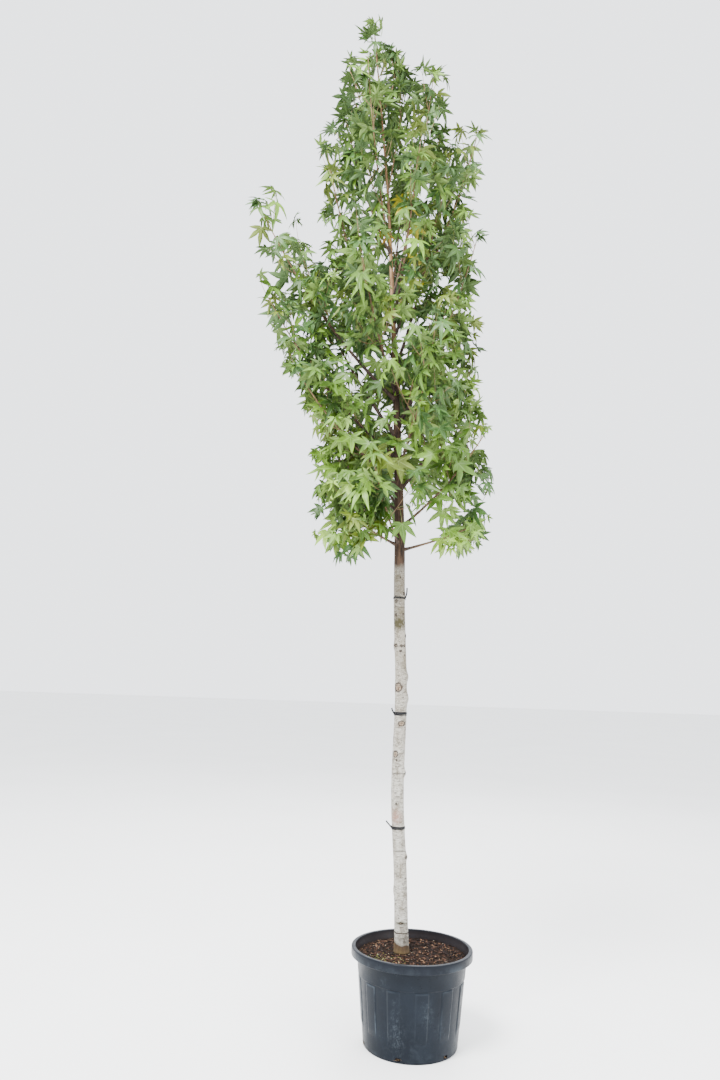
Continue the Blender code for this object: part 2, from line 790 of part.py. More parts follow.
def plan_limbs():
    """Every bough's run, from the named tips and from the rule for the front and back."""
    limbs = []
    for name, (height, tip) in SEEN_BOUGHS.items():
        limbs.append(Limb(name, trunk_axis(height), Vector(tip)))
    for i in range(DEPTH_BOUGHS):
        height = DEPTH_BOUGH_START + i * DEPTH_BOUGH_STEP
        front = i % 2 == 0
        bearing = math.radians(-90 if front else 90)
        bearing += DEPTH_BOUGH_SPREAD * (-1 if i % 4 < 2 else 1) * (1 if front else -1)
        least, most = DEPTH_BOUGH_RISE
        top = height + least + (most - least) * i / (DEPTH_BOUGHS - 1)
        reach = crown_reach(bearing, top) - DEPTH_BOUGH_INSET
        tip = trunk_axis(top) + Vector((math.cos(bearing), math.sin(bearing), 0.0)) * reach
        side = "front" if front else "back"
        limbs.append(Limb(f"{side}_{i // 2 + 1}", trunk_axis(height), tip))
    return limbs


def stem_of(limb):
    """The stem of a mass: it goes on from the bough's end, a hair clear of it."""
    shares = [limb.bare + (1 - limb.bare) * i / STEM_RINGS for i in range(STEM_RINGS + 1)]
    points = [limb.at(share) for share in shares]
    before = limb.at(limb.bare * (1 - 1 / (BOUGH_RINGS - 1)))
    way = (points[0] - before).normalized()
    stem = [points[0] + way * GAP, points[0] + way * STEM_LEAD] + points[1:]
    radii = [limb.radius(limb.bare)] * 2 + [limb.radius(share) for share in shares[1:]]
    return stem, radii


def leader_stem(name):
    """A stem that leaves the leader level and turns up."""
    height, bearing, reach, rise = LEADER_STEMS[name]
    out = Vector((math.cos(bearing), math.sin(bearing), 0.0))
    root = trunk_axis(height) + out * (trunk_radius(height) + 1.5 * GAP)
    tip = trunk_axis(height + rise) + out * reach
    across, up = LEADER_STEM_BEND
    bend = root + out * reach * across + Vector((0, 0, rise * up))
    stem = [root, root + out * LEADER_STEM_LEAD]
    radii = [LEADER_RADIUS, LEADER_RADIUS]
    for i in range(1, STEM_RINGS):
        share = i / (STEM_RINGS - 1)
        left = 1 - share
        stem.append(stem[1] * left**2 + bend * 2 * left * share + tip * share**2)
        radii.append(LEADER_RADIUS * left + STEM_TIP_RADIUS * share)
    return stem, radii


def top_stem():
    """The leader's last growth, straight on from the trunk's tip."""
    points, _ = trunk_points()
    way = (points[-1] - points[-2]).normalized()
    stem = [points[-1] + way * GAP]
    stem += [points[-1] + way * TOP_STEM_RISE * share for share in (0.4, 1.0)]
    return stem, [LEADER_RADIUS, LEADER_RADIUS * 0.85, STEM_TIP_RADIUS]


def samples_along(points, step):
    """Points along a run, a step or less apart."""
    found = []
    for a, b in zip(points, points[1:]):
        count = max(1, math.ceil((b - a).length / step))
        found += [a + (b - a) * (i / count) for i in range(count)]
    return found + [points[-1]]


def main():
    clear_scene()
    tree = make_collection("potted_sweetgum")
    tools = make_collection("tools")
    pot_plastic = make_material("pot", POT_COLOUR, 0.42)
    mulch = make_material("soil", MULCH_COLOUR, 0.95)
    bark = make_material("trunk", TRUNK_COLOUR, 0.85)
    bough_bark = make_material("bough", BOUGH_COLOUR, 0.85)
    band_rubber = make_material("tie", TIE_COLOUR, 0.6)
    leaf_greens = [make_material(f"foliage_{i}", colour, 0.5) for i, colour in enumerate(LEAF_COLOURS)]

    make_pot(tree, tools, pot_plastic)
    make_soil(tree, mulch)
    trunk_line, radii = trunk_points()
    trunk = make_tube("trunk", trunk_line, radii, TRUNK_SIDES, tree, bark)
    limb_faces = [touch_tree(trunk.data)]
    points, radii = trunk_points(swell=CUTTER_SWELL, overrun=CUTTER_OVERRUN)
    cutter = make_tube("trunk_cutter", points, radii, TRUNK_SIDES, tools)
    hide_tool(cutter)
    for name in TIES:
        make_tie(name, tree, tools, cutter, band_rubber)

    limbs = plan_limbs()
    for limb in limbs:
        shares = [limb.bare * i / (BOUGH_RINGS - 1) for i in range(BOUGH_RINGS)]
        run = [limb.at(share) for share in shares]
        thickness = [limb.radius(share) for share in shares]
        bough = make_tube("bough_" + limb.name, run, thickness, BOUGH_SIDES, tree, bough_bark)
        boolean(bough, "DIFFERENCE", cutter)
        keep_outer_body(bough.data)
        limb_faces.append(touch_tree(bough.data))
    bpy.data.objects.remove(cutter)

    stems = {limb.name: stem_of(limb) for limb in limbs}
    stems.update({name: leader_stem(name) for name in LEADER_STEMS})
    stems["leader_top"] = top_stem()
    spines = [samples_along(stem, SPINE_STEP) for stem, _ in stems.values()]
    solid_limbs = [(point, trunk_radius(point.z)) for point in samples_along(trunk_line, TRUNK_STEP)]
    for limb in limbs:
        shares = [limb.bare * i / LIMB_SAMPLES for i in range(LIMB_SAMPLES + 1)]
        solid_limbs += [(limb.at(share), limb.radius(share)) for share in shares]
    space = Space(spines, solid_limbs, limb_faces)
    for number, (name, (stem, sizes)) in enumerate(stems.items()):
        mass = Mass("foliage_" + name, number, stem, sizes, space)
        mass.grow(tree, tools, leaf_greens[number % len(leaf_greens)])
    bpy.data.collections.remove(tools)

    root = bpy.data.objects.new("potted_sweetgum", None)
    tree.objects.link(root)
    for thing in tree.objects:
        if thing is not root:
            thing.parent = root


main()
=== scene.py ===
"""The looks of a potted young sweetgum tree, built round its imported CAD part.

Metres, +Z up, in the part's own frame: the origin is the centre of the pot's flat underside and
-Y is the front. The twigs and leaves grow from the part's limbs by the same rule as its solids.
"""

import math
import random

import bmesh
import bpy
import numpy as np
from mathutils import Matrix, Vector, noise


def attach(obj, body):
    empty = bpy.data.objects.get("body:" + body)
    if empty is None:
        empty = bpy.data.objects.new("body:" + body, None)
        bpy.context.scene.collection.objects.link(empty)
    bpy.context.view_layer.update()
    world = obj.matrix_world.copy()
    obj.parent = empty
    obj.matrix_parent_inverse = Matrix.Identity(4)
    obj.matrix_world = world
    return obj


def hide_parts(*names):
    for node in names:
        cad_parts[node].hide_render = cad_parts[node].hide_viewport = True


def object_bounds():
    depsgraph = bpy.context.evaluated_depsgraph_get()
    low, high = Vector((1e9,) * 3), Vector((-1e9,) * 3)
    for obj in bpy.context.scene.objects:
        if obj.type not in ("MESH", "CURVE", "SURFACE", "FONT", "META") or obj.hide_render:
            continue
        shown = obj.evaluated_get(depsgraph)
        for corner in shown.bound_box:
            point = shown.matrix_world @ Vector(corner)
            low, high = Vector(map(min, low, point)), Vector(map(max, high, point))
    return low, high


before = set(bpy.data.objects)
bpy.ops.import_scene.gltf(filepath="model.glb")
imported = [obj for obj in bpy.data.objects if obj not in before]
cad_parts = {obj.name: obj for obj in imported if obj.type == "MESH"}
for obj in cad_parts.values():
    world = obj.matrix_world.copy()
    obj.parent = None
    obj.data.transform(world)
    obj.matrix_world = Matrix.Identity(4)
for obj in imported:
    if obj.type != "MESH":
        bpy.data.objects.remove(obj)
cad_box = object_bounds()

# Camera, as the photograph was taken
CAMERA_PLACE = (-0.29198, -3.90434, 1.5476)
CAMERA_PITCH = math.radians(9.828)
CAMERA_ROLL = math.radians(1.9375)
CAMERA_LENS = 27.36

# Pot
POT_HEIGHT = 0.400
RIM_RADIUS = 0.269
RIM_DEPTH = 0.036
RIM_MOUTH_RADIUS = 0.251
COLLAR_RADIUS = 0.2435
COLLAR_DEPTH = 0.079
COLLAR_STEP = 0.003
BASE_RADIUS = 0.206
WALL = 0.0035
POT_STEPS = 360
POT_RINGS = 60
PANEL_COUNT = 12
PANEL_HEIGHTS = (0.080, 0.105, 0.279, 0.284)
PANEL_HALF_ANGLE = math.radians(7.5)
PANEL_SLOPE = math.radians(0.8)
PANEL_RAISE = 0.0028
FIRST_PANEL = math.radians(-82.6)
DRAIN_COUNT = 6
DRAIN_SIZE = (0.030, 0.022, 0.013)
DRAIN_HEIGHT = 0.0155
FIRST_DRAIN = math.radians(-108)

# Dusty scuffs on the pot's wall: place, size and strength
POT_SCUFFS = (
    ((-0.075, -0.205, 0.10), (0.05, 0.05, 0.11), 1.0), ((-0.075, -0.215, 0.21), (0.03, 0.05, 0.07), 0.7),
    ((0.055, -0.225, 0.20), (0.04, 0.05, 0.07), 0.9), ((0.12, -0.19, 0.13), (0.05, 0.06, 0.06), 0.5),
    ((-0.215, -0.06, 0.06), (0.05, 0.05, 0.06), 0.8), ((-0.13, -0.19, 0.30), (0.03, 0.05, 0.05), 0.5),
    ((0.16, 0.14, 0.12), (0.07, 0.07, 0.09), 0.8), ((-0.10, 0.20, 0.18), (0.07, 0.05, 0.08), 0.7),
)

# Where the painted highlights on the panels' edges are turned down: place and size
POT_DIM_HIGHLIGHTS = (((-0.01, -0.24, 0.19), (0.19, 0.16, 0.24)), ((0.02, 0.24, 0.19), (0.19, 0.16, 0.24)))

# Bark mulch
SOIL_TOP = 0.375
SOIL_EDGE_DROP = 0.006
SOIL_FLAT_RADIUS = 0.15
SOIL_RADIUS = 0.2397
SOIL_FOOT_RADIUS = 0.2019
CHIP_COUNTS = {"dark": 1700, "brown": 800, "tan": 280, "pale": 200, "green": 130}
CHIP_LENGTH = (0.007, 0.038)
CHIP_SCALES = {"pale": 0.5, "green": 0.8, "tan": 0.75}
CHIP_WIDTH = (0.10, 0.30)
CHIP_WIDTHS = {"tan": (0.07, 0.20), "pale": (0.08, 0.20), "green": (0.06, 0.14)}
MOSSY_SHARES = {"pale": 0.65, "green": 1.0}
MOSS_PLACE = (-0.135, -0.115)
MOSS_SPREAD = 0.045
GAP = 0.0003
ROOTS_PER_DRAIN = 7
ROOT_RADIUS = 0.0007

# Trunk
TRUNK_BENDS = (
    (0.375, -0.045), (0.70, -0.059), (1.04, -0.080), (1.50, -0.075), (1.90, -0.093), (2.30, -0.103),
    (2.90, -0.133), (3.46, -0.167), (4.00, -0.202), (4.50, -0.250), (4.97, -0.300),
)
TRUNK_DEPTH = 0.010
SWAY = 0.012
SWAY_PER_METRE = 1.9
SWAY_START = 0.4
TRUNK_TOP = 4.97
FOOT_RADIUS = 0.0305
FLARE = 0.006
FLARE_HEIGHT = 0.035
CROWN_FOOT = 2.12
CROWN_FOOT_RADIUS = 0.0265
LEADER_RADIUS = 0.0035
CROWN_TAPER = 1.7
TRUNK_SIDES = 56
TRUNK_RING_STEP = 0.0045

# Scars and knots on the trunk: height, bearing, height of the mark, width, bulge
KNOTS = (
    (0.498, -98, 0.006, 0.016, 0.0022), (0.684, -40, 0.006, 0.006, 0.0012),
    (0.772, -32, 0.009, 0.010, 0.0028), (1.004, -102, 0.008, 0.008, 0.0014),
    (1.140, -16, 0.008, 0.008, 0.0020), (1.227, -122, 0.015, 0.011, 0.0034),
    (1.200, -110, 0.006, 0.006, 0.0016), (1.366, -79, 0.012, 0.015, 0.0026),
    (1.531, -118, 0.021, 0.017, 0.0034), (1.699, -94, 0.007, 0.010, 0.0018),
    (1.726, -131, 0.011, 0.010, 0.0034), (1.724, -83, 0.008, 0.008, 0.0024),
    (1.724, -55, 0.008, 0.007, 0.0024), (1.770, -30, 0.009, 0.008, 0.0026),
    (1.872, -55, 0.008, 0.009, 0.0024), (1.870, -125, 0.008, 0.009, 0.0024),
    (1.935, -123, 0.010, 0.010, 0.0030), (1.970, -46, 0.011, 0.009, 0.0034),
    (1.679, -47, 0.006, 0.006, 0.0018), (2.047, -82, 0.006, 0.005, 0.0018),
    (1.300, 105, 0.012, 0.013, 0.0026), (1.780, 70, 0.010, 0.011, 0.0024),
)
# Swellings under the whitewash, with no scar
SWELLINGS = (
    (1.579, 3, 0.020, 0.018, 0.0082), (1.480, -3, 0.021, 0.018, 0.0086), (1.725, -152, 0.016, 0.014, 0.0052),
    (1.145, -8, 0.015, 0.014, 0.0058), (0.630, 175, 0.018, 0.015, 0.0044), (0.775, -12, 0.014, 0.013, 0.0036),
    (0.880, 60, 0.016, 0.013, 0.0040), (1.660, 85, 0.018, 0.014, 0.0044), (1.940, 120, 0.014, 0.012, 0.0040),
)
KNOT_SWELL = 1.9
SMALL_SCAR = 0.0115
SMALL_SCAR_MARK = 0.60

# Cracks that run round the bark: height and strength
BARK_RINGS = (
    (0.456, 1.9), (0.434, 0.5), (0.800, 0.9), (1.140, 0.7), (1.905, 0.8), (1.300, 0.35), (0.700, 0.35),
)
# Stains in the whitewash: height, side, size, strength and colour
BARK_STAINS = (
    (1.829, -0.2, (0.060, 0.060, 0.042), 2.2, (0.040, 0.034, 0.014)),
    (1.880, 0.3, (0.050, 0.050, 0.040), 1.2, (0.070, 0.056, 0.030)),
    (1.640, 0.6, (0.040, 0.050, 0.050), 0.9, (0.085, 0.070, 0.042)),
    (0.948, -0.4, (0.040, 0.050, 0.050), 1.2, (0.200, 0.110, 0.082)),
    (0.498, -0.1, (0.030, 0.040, 0.010), 1.4, (0.040, 0.048, 0.018)),
    (1.530, -0.5, (0.032, 0.040, 0.024), 1.6, (0.075, 0.042, 0.022)),
    (1.360, -0.05, (0.028, 0.036, 0.018), 1.5, (0.080, 0.050, 0.030)),
    (2.000, 0.2, (0.050, 0.050, 0.070), 1.1, (0.085, 0.068, 0.042)),
    (0.424, 0.3, (0.035, 0.045, 0.022), 1.2, (0.055, 0.046, 0.036)),
)

# Marks in the whitewash: the pattern's scale, detail, roughness, stretch and distortion, where it
# starts and is full, its strength and its colour. They are lenticels, dashes, smears and flecks.
WASH_MARKS = (
    (85, 6, 0.75, (0.55, 0.55, 1.9), 0.5, 0.52, 0.62, 0.90, (0.045, 0.036, 0.025)),
    (190, 5, 0.8, (0.45, 0.45, 1.3), 0.4, 0.54, 0.62, 0.85, (0.040, 0.033, 0.025)),
    (30, 6, 0.7, (0.9, 0.9, 1.2), 0.8, 0.50, 0.66, 0.75, (0.090, 0.074, 0.052)),
    (210, 4, 0.6, (1, 1, 1), 0.0, 0.60, 0.70, 0.90, (0.56, 0.54, 0.49)),
)
# Heights between which the bare bark turns to young wood, and between which the whitewash thins
YOUNG_BARK = (2.9, 3.5)
WASH_FADE = (1.0, 1.9, 0.50)

# Ties: height, width, bearing of the knot, tail's lean from upright and its length
TIES = {
    "tie_low": (0.900, 0.0125, 200, 42, 0.040),
    "tie_middle": (1.410, 0.0155, 185, 24, 0.026),
    "tie_high": (1.950, 0.0096, -20, 10, 0.050),
}
TIE_CORD_RADIUS = 0.0016

# Crown outline: reach from the trunk at some heights, to the left, to the right and in depth
LEFT_REACH = (
    (2.04, 0.33), (2.25, 0.42), (2.75, 0.42), (3.00, 0.55), (3.85, 0.76), (4.05, 0.73),
    (4.09, 0.40), (4.45, 0.34), (4.60, 0.24), (4.85, 0.17), (5.17, 0.10),
)
RIGHT_REACH = (
    (2.06, 0.30), (2.25, 0.47), (2.80, 0.43), (4.20, 0.50), (4.56, 0.54), (4.70, 0.42), (4.79, 0.32),
    (4.87, 0.12), (5.17, 0.07),
)
DEPTH_REACH = (
    (2.06, 0.24), (2.30, 0.42), (3.20, 0.52), (3.90, 0.48), (4.40, 0.36), (4.80, 0.18), (5.17, 0.07),
)

# Boughs seen from the front: where each leaves the trunk, and where its stem's tip is
SEEN_BOUGHS = {
    "left_long": (2.93, (-0.86, -0.05, 3.93)),
    "left_inner": (2.74, (-0.66, 0.14, 3.80)),
    "left_outer": (2.63, (-0.77, -0.03, 3.40)),
    "left_tall": (3.02, (-0.53, 0.02, 4.28)),
    "left_low": (2.20, (-0.45, -0.06, 2.42)),
    "left_low_back": (2.37, (-0.46, 0.17, 2.76)),
    "left_middle": (2.50, (-0.62, -0.12, 3.02)),
    "right_low": (2.18, (0.31, -0.03, 2.34)),
    "right_rising": (2.29, (0.29, -0.17, 2.74)),
    "right_middle": (2.47, (0.24, 0.14, 3.14)),
    "right_inner": (3.10, (0.08, -0.03, 4.14)),
    "right_long": (2.80, (0.24, -0.11, 3.74)),
    "right_tall": (3.28, (0.26, 0.05, 4.44)),
    "centre_tall": (3.48, (0.01, -0.06, 4.68)),
    "top_left": (3.72, (-0.44, 0.05, 4.50)),
    "top_right": (4.08, (-0.14, 0.05, 4.68)),
}
DEPTH_BOUGHS = 9
DEPTH_BOUGH_START = 2.20
DEPTH_BOUGH_STEP = 0.19
DEPTH_BOUGH_RISE = (0.34, 0.84)
DEPTH_BOUGH_SPREAD = math.radians(24)
DEPTH_BOUGH_INSET = 0.13
BOUGH_BOW = 0.10
BOUGH_RADIUS = 0.0052
BOUGH_RADIUS_PER_METRE = 0.0035
BOUGH_TO_TRUNK = 0.62
LIMB_TAPER = 1.2
LIMB_SAMPLES = 40
STEM_TIP_RADIUS = 0.0022
LEADER_STEMS = {
    "leader_left": (4.42, math.radians(170), 0.13, 0.30),
    "leader_right": (4.56, math.radians(-15), 0.10, 0.28),
}
LEADER_STEM_BEND = (0.7, 0.2)
TOP_STEM_RISE = 0.085
COLLAR_SWELL = 0.5
COLLAR_LENGTH = 0.022

# Shoots and leaves
SEED = 1843
GOLDEN_ANGLE = math.radians(137.5)
GROWTH_START = (0.25, 0.09)
GROWTH_STARTS = {"right_low": 0.44}
LEADER_GROWTH = 4.30
SHOOT_SPACING = (
    (2.1, 0.058), (2.9, 0.065), (3.3, 0.100), (3.7, 0.142), (4.0, 0.120), (4.4, 0.082), (5.1, 0.068),
)
SHOOT_LENGTH = (0.30, 0.17)
SPARSE_MASSES = {"left_long": 1.75, "left_inner": 1.5, "front_1": 1.3, "front_2": 1.15}
# The open gap between the far left bough and the rest of the crown
NOTCH_REACH = (0.37, 0.44)
NOTCH_FOOT = 3.86
SHOOT_INSET = (-0.11, 0.02)
LEADER_SHOOT_SHARE = 0.5
SHOOT_SHRINKS = (1.0, 0.8, 0.62, 0.45, 0.3)
SHOOT_LEAN = (math.radians(52), math.radians(34))
SHOOT_LIFT = (0.12, 0.55)
SHOOT_EDGE = 0.025
TIP_SHOOT_LENGTH = (0.13, 0.12)
TIP_SHOOT_LEAN = math.radians(7)
SHOOT_RADIUS = 0.0019
SHOOT_TIP_RADIUS = 0.0009
SIDE_SHOOT_SHARES = (0.3, 0.55)
SIDE_SHOOT_LEAST = 0.16
SIDE_SHOOT_TOP = 0.75
STEM_SAMPLES = 28
LEADER_STEM_SAMPLES = 12
TOP_STEM_SAMPLES = 14
WOOD_RING_STEP = 0.012
WOOD_SIDES = 10
STEM_SIDES = 8
SHOOT_SIDES = 5
PETIOLE_SIDES = 4
LEAF_SPACING = (0.029, 0.042)
LEAF_DROOP = ((35, 82), (0, 62))
YOUNG_LEAF_RISE = 55
LEAF_BROADS = (0.95, 1.0, 0.92, 1.05, 0.98, 1.02, 1.08, 1.1, 1.15, 1.2, 1.25, 1.3, 1.4, 1.45)
TIP_LEAF_SCALES = (0.78, 0.60, 0.45)
TIP_LEAF_LEAN = math.radians(26)
TRUNK_WINDOW = 0.065
# How many of the leaves are missing in front of the trunk, by height
TRUNK_WINDOW_SHARES = (
    (2.1, 0.82), (2.65, 0.80), (2.95, 0.55), (3.1, 0.1), (3.35, 0.1), (3.55, 0.6), (4.6, 0.6), (4.9, 0.1),
)
LEAF_FLOOR = 2.09
LEAF_ROLL = 32
LEAF_SWING = 36
LEAF_LENGTH = (0.086, 0.088)
PETIOLE_LENGTH = (0.075, 0.050)
PETIOLE_RADIUS = 0.0009
LEAF_OVERHANG = 0.02
BOX_OVERHANG = 0.009
SHEET_GAP = 0.0005
# Sprays at the front that have turned: side, height and tint
AUTUMN_SPRAYS = (
    (-0.26, 3.76, "yellow"), (-0.16, 3.77, "orange"), (-0.08, 3.63, "yellow"),
    (-0.14, 3.93, "yellow"), (-0.28, 3.91, "yellow"), (-0.19, 3.50, "yellow"),
)
AUTUMN_SIZE = 0.050
AUTUMN_DEPTH = 0.02
YOUNG_RADIUS = (0.0028, 0.0070)
SPACE_MARGIN = 0.003
SPINE_STEP = 0.02


def frame_of(way, up):
    """A matrix whose X axis is the way and whose Z axis is as near up as it can be."""
    x = way.normalized()
    z = up - x * up.dot(x)
    z.normalize()
    y = z.cross(x)
    return Matrix((x, y, z)).transposed()


def any_side(way):
    """A unit vector at right angles to a way."""
    other = Vector((0, 0, 1)) if abs(way.z) < 0.9 else Vector((1, 0, 0))
    return way.cross(other).normalized()


def sideways(way, turn, lean):
    """A way that leans off another one, on a bearing round it."""
    side = Matrix.Rotation(turn, 3, way) @ any_side(way)
    return (way * math.cos(lean) + side * math.sin(lean)).normalized()


class Heap:
    """Many small meshes of one kind, gathered into one piece."""

    def __init__(self):
        self.points, self.faces, self.marks, self.values = [], [], [], []
        self.count = 0

    def add(self, points, faces, marks=0, values=None):
        self.points.append(points)
        self.faces.append(faces + self.count)
        self.marks.append(np.broadcast_to(marks, len(faces)))
        self.values.append(np.zeros(len(points)) if values is None else values)
        self.count += len(points)

    def build(self, name, materials, slot, nodes=(), value_name=None):
        """Makes the piece, rides it on the part's body and hides the CAD nodes it stands for."""
        mesh = bpy.data.meshes.new(name)
        faces = [row.tolist() for block in self.faces for row in block]
        mesh.from_pydata(np.concatenate(self.points).tolist(), [], faces)
        for material in materials:
            mesh.materials.append(material)
        mesh.polygons.foreach_set("material_index", np.concatenate(self.marks).astype(np.int32))
        if value_name:
            layer = mesh.attributes.new(value_name, "FLOAT", "POINT")
            layer.data.foreach_set("value", np.concatenate(self.values).astype(np.float32))
        mesh.shade_smooth()
        piece = bpy.data.objects.new(name, mesh)
        return settle(piece, nodes)


def settle(piece, nodes=()):
    """Links a piece to the scene and to the part."""
    bpy.context.scene.collection.objects.link(piece)
    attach(piece, "root")
    if nodes:
        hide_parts(*nodes)
    return piece


def grid_faces(rows, sides, flip=False, closed=False):
    """Four-cornered faces between rings of points, and from the last to the first if closed."""
    grid = np.arange(rows * sides).reshape(rows, sides)
    a, b = (grid, np.roll(grid, -1, 0)) if closed else (grid[:-1], grid[1:])
    next_a, next_b = np.roll(a, -1, 1), np.roll(b, -1, 1)
    corners = [a, b, next_b, next_a] if flip else [a, next_a, next_b, b]
    return np.stack(corners, -1).reshape(-1, 4)


def tube(points, radii, sides, relief=None):
    """Points and four-cornered faces of a limb along a run. Its ends are drawn to a close."""
    run = np.array([tuple(p) for p in points])
    ways = np.gradient(run, axis=0)
    ways /= np.linalg.norm(ways, axis=1)[:, None]
    side = np.array(any_side(Vector(ways[0])))
    turns = np.arange(sides) * 2 * math.pi / sides
    rings = []
    for middle, way, radius, i in zip(run, ways, radii, range(len(run))):
        side = side - way * side.dot(way)
        side /= np.linalg.norm(side)
        other = np.cross(way, side)
        reach = np.full(sides, radius) if relief is None else radius + relief(i, turns)
        out = np.outer(np.cos(turns), side) + np.outer(np.sin(turns), other)
        rings.append(middle + out * reach[:, None])
    for end, nearest in ((0, 1), (-1, -2)):
        cap = run[end] + (rings[end] - run[end]) * 0.02
        rings.insert(0 if end == 0 else len(rings), cap)
    return np.concatenate(rings), grid_faces(len(rings), sides)


def smooth_value(table, at):
    """A smooth curve through a table of (place, value), level with its neighbours' slope."""
    places = [row[0] for row in table]
    at = min(max(at, places[0]), places[-1])
    last = len(table) - 1
    i = min(max(sum(p <= at for p in places) - 1, 0), last - 1)

    def slope(k):
        a, b = max(k - 1, 0), min(k + 1, last)
        return (table[b][1] - table[a][1]) / (table[b][0] - table[a][0])

    (x0, y0), (x1, y1) = table[i], table[i + 1]
    width = x1 - x0
    s = (at - x0) / width
    rise = y0 * (1 + 2 * s) * (1 - s) ** 2 + y1 * s * s * (3 - 2 * s)
    return rise + width * (slope(i) * s * (1 - s) ** 2 - slope(i + 1) * s * s * (1 - s))


def table_value(table, at):
    """Straight runs between the rows of a table of (place, value)."""
    return float(np.interp(at, [row[0] for row in table], [row[1] for row in table]))


def trunk_axis(height):
    """The middle of the trunk at a height, which is upright at its foot."""
    up = height - SOIL_TOP
    sway = SWAY * math.sin(SWAY_PER_METRE * up) * min(1.0, up / SWAY_START)
    return Vector((smooth_value(TRUNK_BENDS, height), TRUNK_DEPTH + sway, height))


def trunk_radius(height):
    """The trunk's radius: a flared foot, a slow taper, and a faster one in the crown."""
    if height < CROWN_FOOT:
        share = (height - SOIL_TOP) / (CROWN_FOOT - SOIL_TOP)
        flare = FLARE * math.exp(-(height - SOIL_TOP) / FLARE_HEIGHT)
        return FOOT_RADIUS + (CROWN_FOOT_RADIUS - FOOT_RADIUS) * share + flare
    share = min((height - CROWN_FOOT) / (TRUNK_TOP - CROWN_FOOT), 1.0)
    return LEADER_RADIUS + (CROWN_FOOT_RADIUS - LEADER_RADIUS) * (1 - share) ** CROWN_TAPER


def crown_reach(bearing, height):
    """How far the crown reaches from the trunk's middle on a bearing, at a height."""
    across, deep = math.cos(bearing), math.sin(bearing)
    side = RIGHT_REACH if across > 0 else LEFT_REACH
    return table_value(side, height) * across**2 + table_value(DEPTH_REACH, height) * deep**2


class Limb:
    """A limb's whole run: a bough from the trunk, then the stem of its mass up to the tip."""

    def __init__(self, name, start, tip):
        self.name = name
        self.start = start
        across = Vector((tip.x - start.x, tip.y - start.y, 0.0))
        rise = tip.z - start.z
        self.bend = start + across * (0.5 + BOUGH_BOW) + Vector((0, 0, rise * (0.5 - BOUGH_BOW)))
        self.tip = tip
        points = [self.at(i / LIMB_SAMPLES) for i in range(LIMB_SAMPLES + 1)]
        self.length = sum((b - a).length for a, b in zip(points, points[1:]))
        full = BOUGH_RADIUS + BOUGH_RADIUS_PER_METRE * self.length
        self.base_radius = min(full, BOUGH_TO_TRUNK * trunk_radius(start.z))

    def at(self, share):
        """The point at a share of the run, on one smooth arc."""
        left = 1 - share
        return self.start * left**2 + self.bend * (2 * left * share) + self.tip * share**2

    def radius(self, share):
        """The taper from the trunk to the stem's tip."""
        return STEM_TIP_RADIUS + (self.base_radius - STEM_TIP_RADIUS) * (1 - share) ** LIMB_TAPER


def plan_limbs():
    """Every bough's run, from the named tips and from the rule for the front and back."""
    limbs = [Limb(name, trunk_axis(height), Vector(tip)) for name, (height, tip) in SEEN_BOUGHS.items()]
    for i in range(DEPTH_BOUGHS):
        height = DEPTH_BOUGH_START + i * DEPTH_BOUGH_STEP
        front = i % 2 == 0
        bearing = math.radians(-90 if front else 90)
        bearing += DEPTH_BOUGH_SPREAD * (-1 if i % 4 < 2 else 1) * (1 if front else -1)
        least, most = DEPTH_BOUGH_RISE
        top = height + least + (most - least) * i / (DEPTH_BOUGHS - 1)
        reach = crown_reach(bearing, top) - DEPTH_BOUGH_INSET
        tip = trunk_axis(top) + Vector((math.cos(bearing), math.sin(bearing), 0.0)) * reach
        limbs.append(Limb(f"{'front' if front else 'back'}_{i // 2 + 1}", trunk_axis(height), tip))
    return limbs


def leader_stem(name):
    """A stem that leaves the leader level and turns up."""
    height, bearing, reach, rise = LEADER_STEMS[name]
    out = Vector((math.cos(bearing), math.sin(bearing), 0.0))
    root = trunk_axis(height)
    tip = trunk_axis(height + rise) + out * reach
    across, up = LEADER_STEM_BEND
    bend = root + out * reach * across + Vector((0, 0, rise * up))
    count = LEADER_STEM_SAMPLES
    points = []
    for i in range(count + 1):
        share = i / count
        points.append(root * (1 - share) ** 2 + bend * 2 * (1 - share) * share + tip * share**2)
    return points, list(np.linspace(LEADER_RADIUS, STEM_TIP_RADIUS, count + 1))


def top_stem():
    """The leafy top of the leader, and its last growth straight on from the trunk's tip."""
    points = [trunk_axis(height) for height in np.linspace(LEADER_GROWTH, TRUNK_TOP, TOP_STEM_SAMPLES)]
    radii = [trunk_radius(point.z) for point in points]
    way = (points[-1] - points[-2]).normalized()
    count = 4
    for i in range(1, count + 1):
        points.append(points[TOP_STEM_SAMPLES - 1] + way * TOP_STEM_RISE * i / count)
        radii.append(LEADER_RADIUS + (STEM_TIP_RADIUS - LEADER_RADIUS) * i / count)
    return points, radii


def height_share(point):
    """How high a point is in the crown: 0 at its foot and 1 at the trunk's top."""
    return min(max((point.z - CROWN_FOOT) / (TRUNK_TOP - CROWN_FOOT), 0.0), 1.0)


def between(pair, share):
    """A value on the way from the first of a pair to the second."""
    return pair[0] + (pair[1] - pair[0]) * share


def in_crown(point, over=0.0):
    """True if a point is inside the crown's outline, or less than a small way over it."""
    height = point[2]
    if not LEFT_REACH[0][0] - abs(over) < height < LEFT_REACH[-1][0]:
        return False
    middle = trunk_axis(min(height, TRUNK_TOP))
    across, deep = point[0] - middle.x, point[1] - middle.y
    if height > NOTCH_FOOT and NOTCH_REACH[0] < -across < NOTCH_REACH[1]:
        return False
    return math.hypot(across, deep) < crown_reach(math.atan2(deep, across), height) + over


